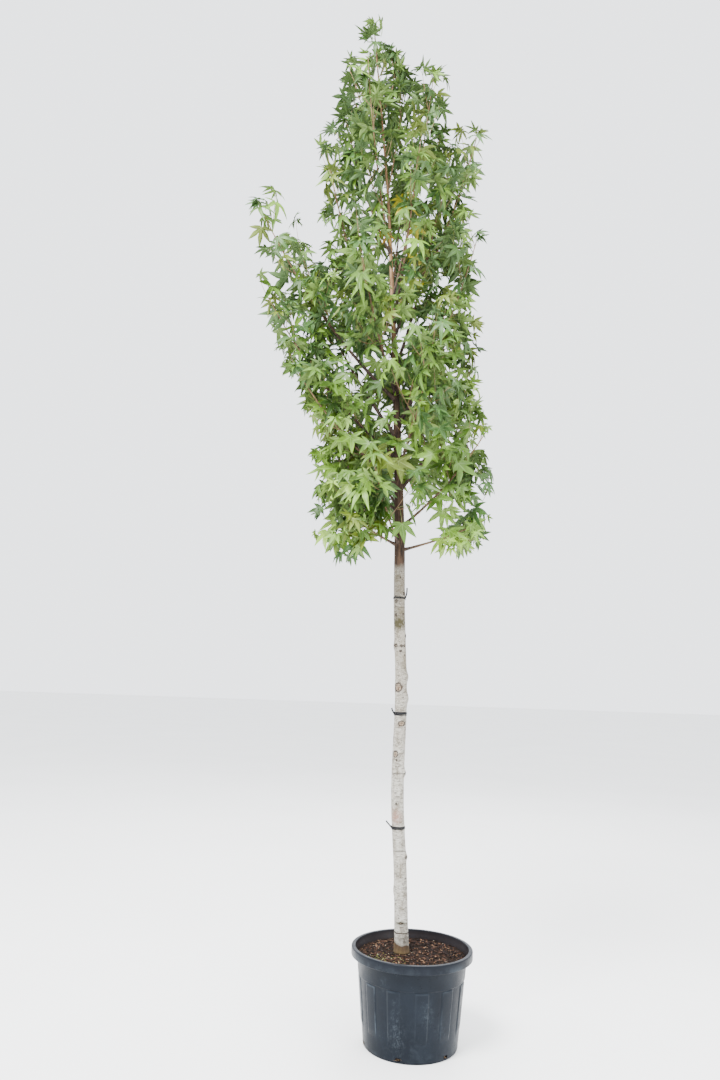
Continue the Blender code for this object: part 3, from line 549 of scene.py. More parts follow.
class Space:
    """The room of each mass: what is nearest to its own stem."""

    def __init__(self, stems):
        spines = []
        for stem in stems:
            spine = []
            for a, b in zip(stem, stem[1:]):
                count = max(1, math.ceil((b - a).length / SPINE_STEP))
                spine += [a + (b - a) * (i / count) for i in range(count)]
            spines.append(spine + [stem[-1]])
        self.places = np.array([p for spine in spines for p in spine])
        self.owner = np.array([i for i, spine in enumerate(spines) for _ in spine])

    def holds(self, mass, points, over):
        """True if the points are nearest to the mass's own stem and in the crown."""
        apart = np.linalg.norm(np.array(points)[:, None] - self.places[None], axis=2)
        own = apart[:, self.owner == mass].min(axis=1)
        other = apart[:, self.owner != mass].min(axis=1)
        if (own + 2 * SPACE_MARGIN > other + 0.03).any():
            return False
        return all(in_crown(point, over) for point in points)


def leaf_sheet(fold, bends, twist, spread, broad):
    """One leaf of unit length: five long pointed lobes, creased along their ribs and bent down."""
    lobes = ((0, 1.0, 0.118 * broad), (49, 0.93, 0.108 * broad), (102, 0.64, 0.088 * broad))
    sinuses = {25: 0.27 * broad, 76: 0.22 * broad}
    points, ribs = [(0.0, 0.0, -0.02)], [1.0]
    faces = []
    rim = {}

    def place(turn, reach, off=0.0, low=0.0, bend=0.2, rib=0.0):
        turn = math.radians(turn * spread)
        x = math.cos(turn) * reach - math.sin(turn) * off
        y = math.sin(turn) * reach + math.cos(turn) * off
        points.append((x, y, low - bend * reach**2))
        ribs.append(rib)
        return len(points) - 1

    for sign in (1, -1):
        for turn, reach in sinuses.items():
            rim[sign * turn] = place(sign * turn, reach)
    for sign in (1, -1):
        rim[sign * 160] = place(sign * 158, 0.13)
    for turn, reach, half in lobes:
        for sign in (1, -1) if turn else (1,):
            bend = bends[sign * turn]
            middle = place(sign * turn, reach * 0.52, 0.0, -fold * half, bend, 1.0)
            tip = place(sign * turn, reach, 0.0, 0.0, bend, 1.0)
            sides = []
            for side in (-1, 1):
                wide = place(sign * turn, reach * 0.50, side * half, 0.0, bend)
                narrow = place(sign * turn, reach * 0.76, side * half * 0.56, 0.0, bend)
                sides.append((wide, narrow))
            near = {0: (-25, 25), 49: (25, 76), 102: (76, 160)}[turn]
            first, last = (near if sign > 0 or turn == 0 else (-near[1], -near[0]))
            (w0, n0), (w1, n1) = sides
            ring = [0, rim[first], w0, n0, tip, n1, w1, rim[last]]
            faces += [(middle, ring[k], ring[(k + 1) % len(ring)]) for k in range(len(ring))]
    found = np.array(points)
    found[:, 2] += twist * found[:, 1] + fold * 0.45 * np.abs(found[:, 1])
    return found, np.array(faces), np.array(ribs)


def leaf_kinds():
    """Leaf shapes with two sheets: the green upper one and the pale one under it."""
    kinds = []
    dice = random.Random(SEED)
    for broad in LEAF_BROADS:
        droop = dice.uniform(0.05, 0.60)
        bends = {turn: droop + dice.uniform(-0.20, 0.35) for turn in (0, 49, -49, 102, -102)}
        fold, twist, spread = dice.uniform(0.3, 1.2), dice.uniform(-0.2, 0.2), dice.uniform(0.80, 1.06)
        kinds.append(leaf_sheet(fold, bends, twist, spread, broad))
    return kinds


def young_wood(radii):
    """How much a limb of some radius has the tan bark of young wood."""
    return np.clip((YOUNG_RADIUS[1] - np.array(radii)) / (YOUNG_RADIUS[1] - YOUNG_RADIUS[0]), 0, 1)


class Tree:
    """Grows the wood, the shoots and the leaves of every mass."""

    def __init__(self, limbs):
        self.wood, self.shoots, self.petioles = Heap(), Heap(), Heap()
        self.leaves = {name: Heap() for name in LEAF_GREENS}
        self.kinds = leaf_kinds()
        self.lowest = np.array(cad_box[0]) - BOX_OVERHANG
        self.highest = np.array(cad_box[1]) + BOX_OVERHANG
        self.leaf_count = 0
        self.stems, self.gaps = [], []
        for limb in limbs:
            first = GROWTH_STARTS.get(limb.name, between(GROWTH_START, height_share(limb.start)))
            shares = [first + (1 - first) * i / STEM_SAMPLES for i in range(STEM_SAMPLES + 1)]
            self.gaps.append(SPARSE_MASSES.get(limb.name, 1.0))
            self.stems.append(([limb.at(s) for s in shares], [limb.radius(s) for s in shares]))
            self.add_wood(limb)
        for name in LEADER_STEMS:
            self.stems.append(leader_stem(name))
        self.stems.append(top_stem())
        self.gaps += [1.0] * (len(self.stems) - len(limbs))
        for points, radii in self.stems[len(limbs):]:
            shape = tube(points, radii, STEM_SIDES)
            self.wood.add(*shape, values=np.ones(len(shape[0])))
        self.space = Space([stem for stem, _ in self.stems])

    def add_wood(self, limb):
        """A bough and its stem in one run, with a collar at the trunk and uneven bark."""
        count = max(12, round(limb.length / WOOD_RING_STEP))
        shares = [i / count for i in range(count + 1)]
        points = [limb.at(s) for s in shares]
        buried = trunk_radius(limb.start.z)
        radii = []
        for s, p in zip(shares, points):
            clear = max((p - limb.start).length - buried, 0.0)
            radii.append(limb.radius(s) * (1 + COLLAR_SWELL * math.exp(-clear / COLLAR_LENGTH)))

        def relief(i, turns):
            p = points[i]
            wave = np.sin(turns * 3 + p.z * 90) * 0.03 + np.sin(turns * 5 - p.z * 210) * 0.025
            node = 0.10 * max(0.0, math.sin(p.z * 150 + limb.length * 9)) ** 6
            return radii[i] * (wave + node)

        young = [radii[0], *radii, radii[-1]]
        values = np.repeat(young_wood(young), WOOD_SIDES)
        self.wood.add(*tube(points, radii, WOOD_SIDES, relief), values=values)

    def grow(self, number):
        """A mass's shoots, round its stem by the golden angle, and the leaves near its tip."""
        dice = random.Random(SEED + number)
        stem, radii = self.stems[number]
        along = [0.0]
        for a, b in zip(stem, stem[1:]):
            along.append(along[-1] + (b - a).length)
        length = along[-1]

        def stem_at(distance):
            i = min(sum(s <= distance for s in along) - 1, len(stem) - 2)
            way = (stem[i + 1] - stem[i]).normalized()
            return stem[i] + way * (distance - along[i]), way

        turn = dice.uniform(0, 2 * math.pi)
        leader = number >= len(self.stems) - len(LEADER_STEMS) - 1
        distance = 0.0
        while distance < length - 0.02:
            turn += GOLDEN_ANGLE
            root, way = stem_at(distance)
            high = height_share(root)
            full = between(SHOOT_LENGTH, distance / length) * dice.uniform(0.75, 1.15) * (1 - 0.3 * high)
            full *= LEADER_SHOOT_SHARE if leader else 1.0
            thickness = float(np.interp(distance, along, radii))
            self.grow_shoot(number, dice, root, way, turn, full, min(SHOOT_RADIUS, thickness * 0.8), 0)
            distance += table_value(SHOOT_SPACING, root.z) * self.gaps[number] * dice.uniform(0.8, 1.2)
        distance = length * (0.1 if leader else 0.45)
        while distance < length:
            turn += GOLDEN_ANGLE
            root, way = stem_at(distance)
            self.grow_leaf(dice, root, way, turn, self.pick_green(dice, root), 1.0)
            distance += between(LEAF_SPACING, height_share(root))
        root, way = stem_at(length - 0.001)
        green = self.pick_green(dice, root)
        self.grow_tip_leaves(dice, root, way, turn, green, 4)
        ahead = between(TIP_SHOOT_LENGTH, height_share(root))
        self.grow_shoot(number, dice, root, way, turn, ahead, STEM_TIP_RADIUS, 1, TIP_SHOOT_LEAN)

    def grow_shoot(self, number, dice, root, way, turn, full, radius, order, lean=None):
        """A shoot that turns up towards the light, with leaves along it and side shoots."""
        high = height_share(root)
        lift = between(SHOOT_LIFT, high)
        over = dice.uniform(*SHOOT_INSET)
        for shrink in SHOOT_SHRINKS:
            tilt = dice.uniform(-0.25, 0.25)
            out = sideways(way, turn, between(SHOOT_LEAN, high) + tilt if lean is None else lean)
            size = full * shrink

            def at(s):
                return root + out * size * s + Vector((0, 0, lift * size * s * s))

            run = [at(s) for s in (0.3, 0.6, 0.85, 1.0)]
            if self.space.holds(number, run, over) and self.in_box(run):
                break
        else:
            return
        count = max(3, round(size / 0.03))
        points = [at(i / count) for i in range(count + 1)]
        radii = np.linspace(radius, SHOOT_TIP_RADIUS, count + 1)
        self.shoots.add(*tube(points, radii, SHOOT_SIDES))
        green = self.pick_green(dice, points[-1])
        spacing = between(LEAF_SPACING, high)
        distance = spacing * dice.uniform(0.4, 1.4)
        side_turn = dice.uniform(0, 2 * math.pi)
        while distance < size:
            s = distance / size
            ahead = (at(min(s + 0.05, 1.0)) - at(s - 0.05)).normalized()
            side_turn += GOLDEN_ANGLE
            scale = 0.82 + 0.35 * math.sin(math.pi * min(s * 1.1, 1.0))
            self.grow_leaf(dice, at(s), ahead, side_turn, green, scale)
            distance += spacing * dice.uniform(0.8, 1.25)
        ahead = (at(1.0) - at(0.9)).normalized()
        self.grow_tip_leaves(dice, at(1.0), ahead, side_turn, green, 3)
        if order == 0 and size > SIDE_SHOOT_LEAST and high < SIDE_SHOOT_TOP:
            for i, share in enumerate(SIDE_SHOOT_SHARES):
                ahead = (at(share + 0.1) - at(share)).normalized()
                side = side_turn + i * GOLDEN_ANGLE
                self.grow_shoot(number, dice, at(share), ahead, side, size * 0.5, radius * 0.8, 1)

    def in_box(self, run):
        """True if a shoot leaves room for its leaves in the part's box."""
        run = np.array(run)
        return (run > self.lowest + SHOOT_EDGE).all() and (run < self.highest - SHOOT_EDGE).all()

    def grow_tip_leaves(self, dice, root, way, turn, green, count):
        """Young leaves that stand up round a tip, smaller where they would leave the crown."""
        for i in range(count):
            side = turn + (i + 1) * GOLDEN_ANGLE
            for scale in TIP_LEAF_SCALES:
                if self.grow_leaf(dice, root, way, side, green, scale, TIP_LEAF_LEAN):
                    break

    def pick_green(self, dice, point):
        """A spray's random tint, with painted shade by the trunk, painted light low and outside, and some
        yellow or orange.
        """
        high = height_share(point)
        middle = trunk_axis(min(point.z, TRUNK_TOP))
        reach = math.hypot(point.x - middle.x, point.y - middle.y)
        bearing = math.atan2(point.y - middle.y, point.x - middle.x)
        outer = min(reach / max(crown_reach(bearing, point.z), 0.05), 1.0)
        # Deep green is weighted towards the trunk as painted shade. The two lightest greens are weighted
        # outwards and low as painted light.
        weights = {
            "deep": 0.20 + 0.30 * high + 1.1 * (1 - outer),
            "mid": 1.0,
            "cool": 0.30 + 0.35 * high,
            "olive": 0.45 - 0.20 * high,
            "bright": 0.25 + 0.8 * outer * (1 - high),
            "fresh": 0.05 + 0.45 * outer * max(0.0, 1 - 2.2 * high),
        }
        green = dice.choices(list(weights), list(weights.values()))[0]
        for x, z, tint in AUTUMN_SPRAYS:
            if point.y < middle.y + AUTUMN_DEPTH and math.hypot(point.x - x, point.z - z) < AUTUMN_SIZE:
                return tint
        return green

    def grow_leaf(self, dice, root, way, turn, green, scale, lean=None):
        """A leaf on its stalk, whose blade hangs from it, and more so in the crown's foot."""
        high = height_share(root)
        young = lean is not None
        lean = lean if young else math.radians(dice.uniform(48, 78))
        out = sideways(way, turn, lean)
        stalk_way = (out + Vector((0, 0, 0.25 + 0.2 * high))).normalized()
        stalk = between(PETIOLE_LENGTH, high) * dice.uniform(0.6, 1.15)
        size = between(LEAF_LENGTH, high) * scale * dice.triangular(0.62, 1.25, 1.05)
        hub = root + stalk_way * stalk * scale
        least, most = (between(pair, high) for pair in zip(*LEAF_DROOP))
        droop = math.radians(dice.uniform(least, most) - (YOUNG_LEAF_RISE * high if young else 0.0))
        bearing = math.atan2(out.y, out.x) + math.radians(dice.gauss(0, LEAF_SWING))
        level = Vector((math.cos(bearing), math.sin(bearing), 0.0))
        blade_way = level * math.cos(droop) - Vector((0, 0, math.sin(droop)))
        up = level * math.sin(droop) + Vector((0, 0, math.cos(droop)))
        up = Matrix.Rotation(math.radians(dice.gauss(0, LEAF_ROLL)), 3, blade_way) @ up
        turned = frame_of(blade_way, up)
        tip = hub + turned @ Vector((size, 0, 0))
        pick = dice.random()
        if tip.z < LEAF_FLOOR + (0.03 if tip.x > 0 else 0.0):
            return False
        axis = trunk_axis(min(hub.z, TRUNK_TOP))
        in_front = hub.y < axis.y and abs((hub.x + tip.x) / 2 - axis.x) < TRUNK_WINDOW
        if in_front and pick < table_value(TRUNK_WINDOW_SHARES, hub.z):
            return False
        if not (in_crown(hub, LEAF_OVERHANG) and in_crown(tip, LEAF_OVERHANG)):
            return False
        kind = between((0.35 + 0.65 * pick, 0.55 * pick), high)
        points, faces, ribs = self.kinds[int(len(self.kinds) * kind)]
        matrix = np.array(turned)
        upper = (points * size) @ matrix.T + np.array(hub)
        if (upper < self.lowest).any() or (upper > self.highest).any():
            return False
        under = upper - matrix[:, 2] * SHEET_GAP
        both = np.concatenate([upper, under])
        both_faces = np.concatenate([faces, faces[:, ::-1] + len(points)])
        marks = np.repeat([0, 1], len(faces))
        self.leaves[green].add(both, both_faces, marks, np.tile(ribs, 2))
        bend = (root + hub) / 2 + Vector((0, 0, 0.10 * stalk))
        self.petioles.add(*tube([root, bend, hub], [PETIOLE_RADIUS] * 3, PETIOLE_SIDES))
        self.leaf_count += 1
        return True


class Nodes:
    """A short way to write a material's nodes."""

    def __init__(self, name, **sockets):
        self.material = bpy.data.materials.new(name)
        self.material.use_nodes = True
        self.tree = self.material.node_tree
        self.shader = self.tree.nodes["Principled BSDF"]
        for key, value in sockets.items():
            self.shader.inputs[key.replace("_", " ")].default_value = value
        self.coordinates = self.add("ShaderNodeTexCoord").outputs["Object"]

    def add(self, kind, **settings):
        node = self.tree.nodes.new(kind)
        for key, value in settings.items():
            setattr(node, key, value)
        return node

    def link(self, output, socket):
        self.tree.links.new(output, socket)

    def stretched(self, scale):
        """The coordinates, stretched along their axes."""
        node = self.add("ShaderNodeMapping")
        node.inputs["Scale"].default_value = scale
        self.link(self.coordinates, node.inputs["Vector"])
        return node.outputs["Vector"]

    def noise(self, scale, detail=4.0, rough=0.55, at=None, distortion=0.0):
        node = self.add("ShaderNodeTexNoise")
        node.inputs["Scale"].default_value = scale
        node.inputs["Detail"].default_value = detail
        node.inputs["Roughness"].default_value = rough
        node.inputs["Distortion"].default_value = distortion
        self.link(at or self.coordinates, node.inputs["Vector"])
        return node.outputs["Fac"]

    def ramp(self, value, stops):
        """Colours or greys between named shares."""
        node = self.add("ShaderNodeValToRGB")
        while len(node.color_ramp.elements) < len(stops):
            node.color_ramp.elements.new(0.5)
        for element, (share, colour) in zip(node.color_ramp.elements, stops):
            element.position = share
            grey = isinstance(colour, (int, float))
            element.color = (colour,) * 3 + (1.0,) if grey else (*colour, 1.0)
        self.link(value, node.inputs["Fac"])
        return node.outputs["Color"]

    def mix(self, share, first, second, blend="MIX"):
        """A mix of two colours. Either may be an output or a plain colour."""
        node = self.add("ShaderNodeMix", data_type="RGBA", blend_type=blend)
        for key, value in ((0, share), (6, first), (7, second)):
            if isinstance(value, bpy.types.NodeSocket):
                self.link(value, node.inputs[key])
            elif key == 0:
                node.inputs[key].default_value = value
            else:
                node.inputs[key].default_value = (*value, 1.0)
        return node.outputs[2]

    def math(self, operation, first, second):
        node = self.add("ShaderNodeMath", operation=operation)
        for socket, value in zip(node.inputs, (first, second)):
            if isinstance(value, bpy.types.NodeSocket):
                self.link(value, socket)
            else:
                socket.default_value = value
        return node.outputs[0]

    def times(self, first, second):
        return self.math("MULTIPLY", first, second)

    def vector(self, operation, first, second=(1, 1, 1)):
        node = self.add("ShaderNodeVectorMath", operation=operation)
        self.link(first, node.inputs[0])
        node.inputs[1].default_value = second
        return node.outputs["Value" if operation == "LENGTH" else "Vector"]

    def attribute(self, name):
        return self.add("ShaderNodeAttribute", attribute_name=name).outputs["Fac"]

    def height(self):
        node = self.add("ShaderNodeSeparateXYZ")
        self.link(self.coordinates, node.inputs[0])
        return node.outputs["Z"]

    def step(self, value, start, stop, top=1.0):
        """A smooth rise from 0 to its top, between two values."""
        node = self.add("ShaderNodeMapRange", interpolation_type="SMOOTHSTEP")
        for key, end in (("From Min", start), ("From Max", stop), ("To Max", top)):
            node.inputs[key].default_value = end
        self.link(value, node.inputs["Value"])
        return node.outputs[0]

    def near(self, place, size):
        """1 at a place, and 0 from a size away in each direction."""
        apart = self.vector("DIVIDE", self.vector("SUBTRACT", self.coordinates, place), size)
        return self.ramp(self.vector("LENGTH", apart), ((0.0, 1.0), (1.0, 0.0)))

    def band(self, value, middle, width):
        """1 where a value is at its middle, and 0 from a width away."""
        off = self.math("ABSOLUTE", self.math("SUBTRACT", value, middle), 0.0)
        return self.ramp(self.math("DIVIDE", off, width), ((0.0, 1.0), (1.0, 0.0)))

    def colour(self, output):
        self.link(output, self.shader.inputs["Base Color"])
        return self

    def rough(self, output):
        self.link(output, self.shader.inputs["Roughness"])
        return self

    def bump(self, output, distance, strength=1.0):
        node = self.add("ShaderNodeBump")
        node.inputs["Distance"].default_value = distance
        node.inputs["Strength"].default_value = strength
        self.link(output, node.inputs["Height"])
        self.link(node.outputs["Normal"], self.shader.inputs["Normal"])
        return self


def mottled(name, stops, scale, roughness, bump_depth, stretch=(1, 1, 1), **sockets):
    """A surface whose colour, gloss and relief vary with one patchy and one fine pattern."""
    nodes = Nodes(name, **sockets)
    at = nodes.stretched(stretch)
    patches = nodes.noise(scale, 6, 0.6, at, 0.3)
    fine = nodes.noise(scale * 6, 4, 0.6, at)
    both = nodes.math("ADD", nodes.times(patches, 0.7), nodes.times(fine, 0.3))
    nodes.colour(nodes.ramp(both, stops))
    low, high = roughness
    nodes.rough(nodes.ramp(fine, ((0.3, low), (0.7, high))))
    nodes.bump(fine, bump_depth)
    return nodes.material


def shades(colour, spread=0.25):
    """Three stops round a colour: darker, as it is, and lighter."""
    dark = tuple(c * (1 - spread) for c in colour)
    light = tuple(c * (1 + spread) for c in colour)
    return ((0.35, dark), (0.5, colour), (0.65, light))


# Leaf tints for the upper side and the underside. Deep and the two lightest greens are darker and lighter
# copies of the others, used as painted shade and painted light.
LEAF_GREENS = {
    "deep": ((0.027, 0.066, 0.008), (0.060, 0.104, 0.026)),
    "mid": ((0.062, 0.128, 0.012), (0.100, 0.160, 0.036)),
    "cool": ((0.044, 0.104, 0.020), (0.078, 0.135, 0.046)),
    "olive": ((0.098, 0.142, 0.011), (0.130, 0.172, 0.034)),
    "bright": ((0.112, 0.212, 0.020), (0.143, 0.232, 0.048)),
    "fresh": ((0.170, 0.285, 0.030), (0.196, 0.300, 0.062)),
    "yellow": ((0.270, 0.235, 0.006), (0.260, 0.235, 0.014)),
    "orange": ((0.300, 0.165, 0.010), (0.290, 0.175, 0.020)),
}


def leaf_materials(name):
    """The upper side's waxy green and the duller pale green of the underside, both with ribs."""
    sides = []
    upper, under = LEAF_GREENS[name]
    for side, colour, gloss, shine in (("", upper, 0.42, 0.3), ("_under", under, 0.6, 0.2)):
        nodes = Nodes(f"leaf_{name}{side}", Specular_IOR_Level=shine)
        patches = nodes.noise(24, 5, 0.6)
        fine = nodes.noise(190, 4, 0.6)
        wide = nodes.ramp(patches, shades(colour, 0.42))
        blade = nodes.mix(0.5, wide, nodes.ramp(fine, shades(colour, 0.16)))
        rib = nodes.attribute("rib")
        pale = tuple(min(1.0, c * 1.5 + 0.05) for c in colour)
        nodes.colour(nodes.mix(nodes.ramp(rib, ((0.86, 0.0), (0.97, 0.8))), blade, pale))
        nodes.rough(nodes.ramp(fine, ((0.3, gloss), (0.7, gloss + 0.14))))
        nodes.bump(nodes.mix(0.5, fine, rib), 0.0006)
        sides.append(nodes.material)
    return sides


def trunk_material():
    """Brown bark, whitewashed below the crown, with cracks, knots and a bare wet foot."""
    nodes = Nodes("trunk_bark", Specular_IOR_Level=0.25)
    long_way = nodes.stretched((1.0, 1.0, 0.16))
    height = nodes.height()
    bark = nodes.ramp(
        nodes.noise(95, 8, 0.65, long_way, 0.4),
        ((0.30, (0.009, 0.005, 0.003)), (0.47, (0.028, 0.015, 0.009)), (0.66, (0.075, 0.043, 0.026))),
    )
    young = nodes.ramp(
        nodes.noise(95, 8, 0.65, long_way, 0.4),
        ((0.30, (0.085, 0.045, 0.020)), (0.47, (0.190, 0.105, 0.050)), (0.66, (0.300, 0.185, 0.100))),
    )
    bark = nodes.mix(nodes.step(height, *YOUNG_BARK), bark, young)
    wash = nodes.ramp(
        nodes.noise(38, 8, 0.6, nodes.stretched((1, 1, 0.6)), 0.3),
        ((0.30, (0.15, 0.13, 0.10)), (0.45, (0.30, 0.282, 0.240)), (0.62, (0.37, 0.355, 0.315))),
    )
    wash = nodes.mix(nodes.step(height, *WASH_FADE), wash, (0.150, 0.120, 0.080))
    ragged = nodes.math("ADD", height, nodes.times(nodes.noise(14, 5, 0.6), 0.16))
    edges = nodes.ramp(
        nodes.times(ragged, 0.4),
        ((0.196, 0.0), (0.202, 1.0), (0.858, 1.0), (0.878, 0.0)),
    )
    base = nodes.mix(edges, bark, wash)
    for scale, detail, rough, stretch, distortion, start, stop, strength, tint in WASH_MARKS:
        pattern = nodes.noise(scale, detail, rough, nodes.stretched(stretch), distortion)
        marks = nodes.ramp(pattern, ((start, 0.0), (stop, strength)))
        base = nodes.mix(nodes.times(marks, edges), base, tint)
    wavy = nodes.math("ADD", height, nodes.times(nodes.noise(32, 4, 0.6), 0.012))
    for level, strength in BARK_RINGS:
        ring = nodes.times(nodes.band(wavy, level + 0.006, 0.0042), strength)
        base = nodes.mix(ring, base, (0.035, 0.027, 0.022))
    for level, side, size, strength, tint in BARK_STAINS:
        middle = trunk_axis(level)
        place = (middle.x + side * trunk_radius(level), middle.y - trunk_radius(level) * 0.8, level)
        stain = nodes.times(nodes.near(place, size), strength)
        patchy = nodes.times(stain, nodes.ramp(nodes.noise(95, 5, 0.7), ((0.35, 0.25), (0.60, 1.0))))
        base = nodes.mix(patchy, base, tint)
    foot = nodes.ramp(nodes.times(ragged, 0.4), ((0.172, 1.0), (0.197, 0.0)))
    base = nodes.mix(nodes.times(foot, 0.85), base, (0.105, 0.072, 0.028))
    mark = nodes.attribute("mark")
    worn = nodes.times(nodes.math("SUBTRACT", nodes.noise(95, 5, 0.85), 0.5), 3.4)
    scar = nodes.times(mark, nodes.math("ADD", worn, 1.0))
    tint = nodes.ramp(
        scar,
        (
            (0.22, (0.040, 0.028, 0.018)), (0.30, (0.010, 0.007, 0.005)), (0.60, (0.030, 0.018, 0.011)),
            (0.70, (0.300, 0.250, 0.190)), (0.84, (0.180, 0.115, 0.070)), (1.00, (0.020, 0.012, 0.008)),
        ),
    )
    base = nodes.mix(nodes.ramp(scar, ((0.20, 0.0), (0.32, 0.92))), base, tint)
    nodes.colour(base)
    nodes.rough(nodes.ramp(nodes.noise(60, 4), ((0.3, 0.72), (0.7, 0.92))))
    nodes.bump(nodes.noise(210, 8, 0.7, long_way), 0.0012)
    return nodes.material


def bough_material():
    """Dark brown bark that turns tan where the wood is young."""
    nodes = Nodes("bough_bark", Specular_IOR_Level=0.3)
    at = nodes.stretched((1, 1, 0.35))
    grain = nodes.noise(70, 7, 0.62, at, 0.3)
    old = nodes.ramp(
        grain, ((0.32, (0.014, 0.008, 0.006)), (0.5, (0.036, 0.021, 0.014)), (0.68, (0.080, 0.050, 0.033)))
    )
    young = nodes.ramp(
        grain, ((0.32, (0.085, 0.047, 0.022)), (0.5, (0.165, 0.096, 0.045)), (0.68, (0.260, 0.165, 0.085)))
    )
    share = nodes.attribute("young")
    nodes.colour(nodes.mix(share, old, young))
    nodes.rough(nodes.ramp(nodes.noise(50, 4), ((0.3, 0.6), (0.7, 0.85))))
    nodes.bump(nodes.noise(230, 6, 0.7, at), 0.0010)
    return nodes.material


def pot_material():
    """Dark blue-grey moulded plastic with dust and pale scuffs, a painted dark reflection on the rim and
    painted highlights on its edges.
    """
    nodes = Nodes("pot_plastic", Specular_IOR_Level=0.10)
    plastic = nodes.ramp(
        nodes.noise(7, 5, 0.6), ((0.35, (0.0040, 0.0058, 0.0092)), (0.65, (0.0066, 0.0096, 0.0145)))
    )
    height = nodes.height()
    low = nodes.ramp(nodes.times(height, 2.5), ((0.0, 0.8), (0.5, 0.12), (0.88, 0.03)))
    dust = nodes.ramp(nodes.noise(16, 8, 0.68, None, 0.6), ((0.50, 0.0), (0.74, 0.5)))
    colour = nodes.mix(nodes.times(dust, low), plastic, (0.028, 0.036, 0.044))
    smear = nodes.noise(85, 9, 0.85, nodes.stretched((1, 1, 0.7)), 0.4)
    for place, size, strength in POT_SCUFFS:
        patch = nodes.times(nodes.near(place, size), strength)
        patchy = nodes.times(patch, nodes.ramp(smear, ((0.50, 0.0), (0.66, 1.0))))
        colour = nodes.mix(patchy, colour, (0.050, 0.061, 0.072))
    specks = nodes.ramp(nodes.noise(150, 6, 0.8), ((0.64, 0.0), (0.70, 0.7)))
    spread = nodes.ramp(nodes.noise(6, 3), ((0.48, 0.0), (0.60, 1.0)))
    colour = nodes.mix(nodes.times(specks, spread), colour, (0.10, 0.115, 0.12))
    reach = nodes.vector("LENGTH", nodes.vector("MULTIPLY", nodes.coordinates, (2.0, 2.0, 0.0)))
    rim = nodes.ramp(nodes.times(height, 2.5), ((0.908, 0.0), (0.914, 1.0)))
    inside = nodes.ramp(reach, ((0.499, 1.0), (0.506, 0.0)))
    # Painted dark reflection: the band from the rim's foot up, mouth included, is painted a darker navy,
    # standing in for a dark reflection on the glossy rim.
    colour = nodes.mix(nodes.times(rim, 0.55), colour, (0.0030, 0.0038, 0.0068))
    dirty = nodes.times(nodes.times(rim, inside), nodes.ramp(smear, ((0.40, 0.5), (0.60, 1.0))))
    colour = nodes.mix(dirty, colour, (0.0085, 0.0052, 0.0048))
    # Painted highlight: a lighter blue-grey line along the panels' sides and tops and under the rim, standing
    # in for light caught on those edges. It is turned down near the front and back middles.
    edge = nodes.attribute("edge")
    painted_highlight = nodes.times(edge, nodes.ramp(nodes.noise(6, 6, 0.7), ((0.42, 0.08), (0.58, 0.75))))
    for place, size in POT_DIM_HIGHLIGHTS:
        calm = nodes.ramp(nodes.near(place, size), ((0.0, 1.0), (0.4, 0.18)))
        painted_highlight = nodes.times(painted_highlight, calm)
    nodes.colour(nodes.mix(painted_highlight, colour, (0.058, 0.072, 0.086)))
    nodes.rough(nodes.ramp(nodes.noise(28, 6, 0.65), ((0.3, 0.26), (0.7, 0.46))))
    nodes.bump(nodes.noise(420, 4, 0.6), 0.0003)
    return nodes.material


def wall_radius(height):
    """The radius of the pot's outer wall below its collar."""
    top = COLLAR_RADIUS - COLLAR_STEP
    return BASE_RADIUS + (top - BASE_RADIUS) * height / (POT_HEIGHT - RIM_DEPTH)


def arc(middle, radius, start, stop, count):
    """Points of a round edge as (radius, height), between two angles in degrees."""
    turns = np.radians(np.linspace(start, stop, count))
    return [(middle[0] + radius * math.cos(t), middle[1] + radius * math.sin(t)) for t in turns]


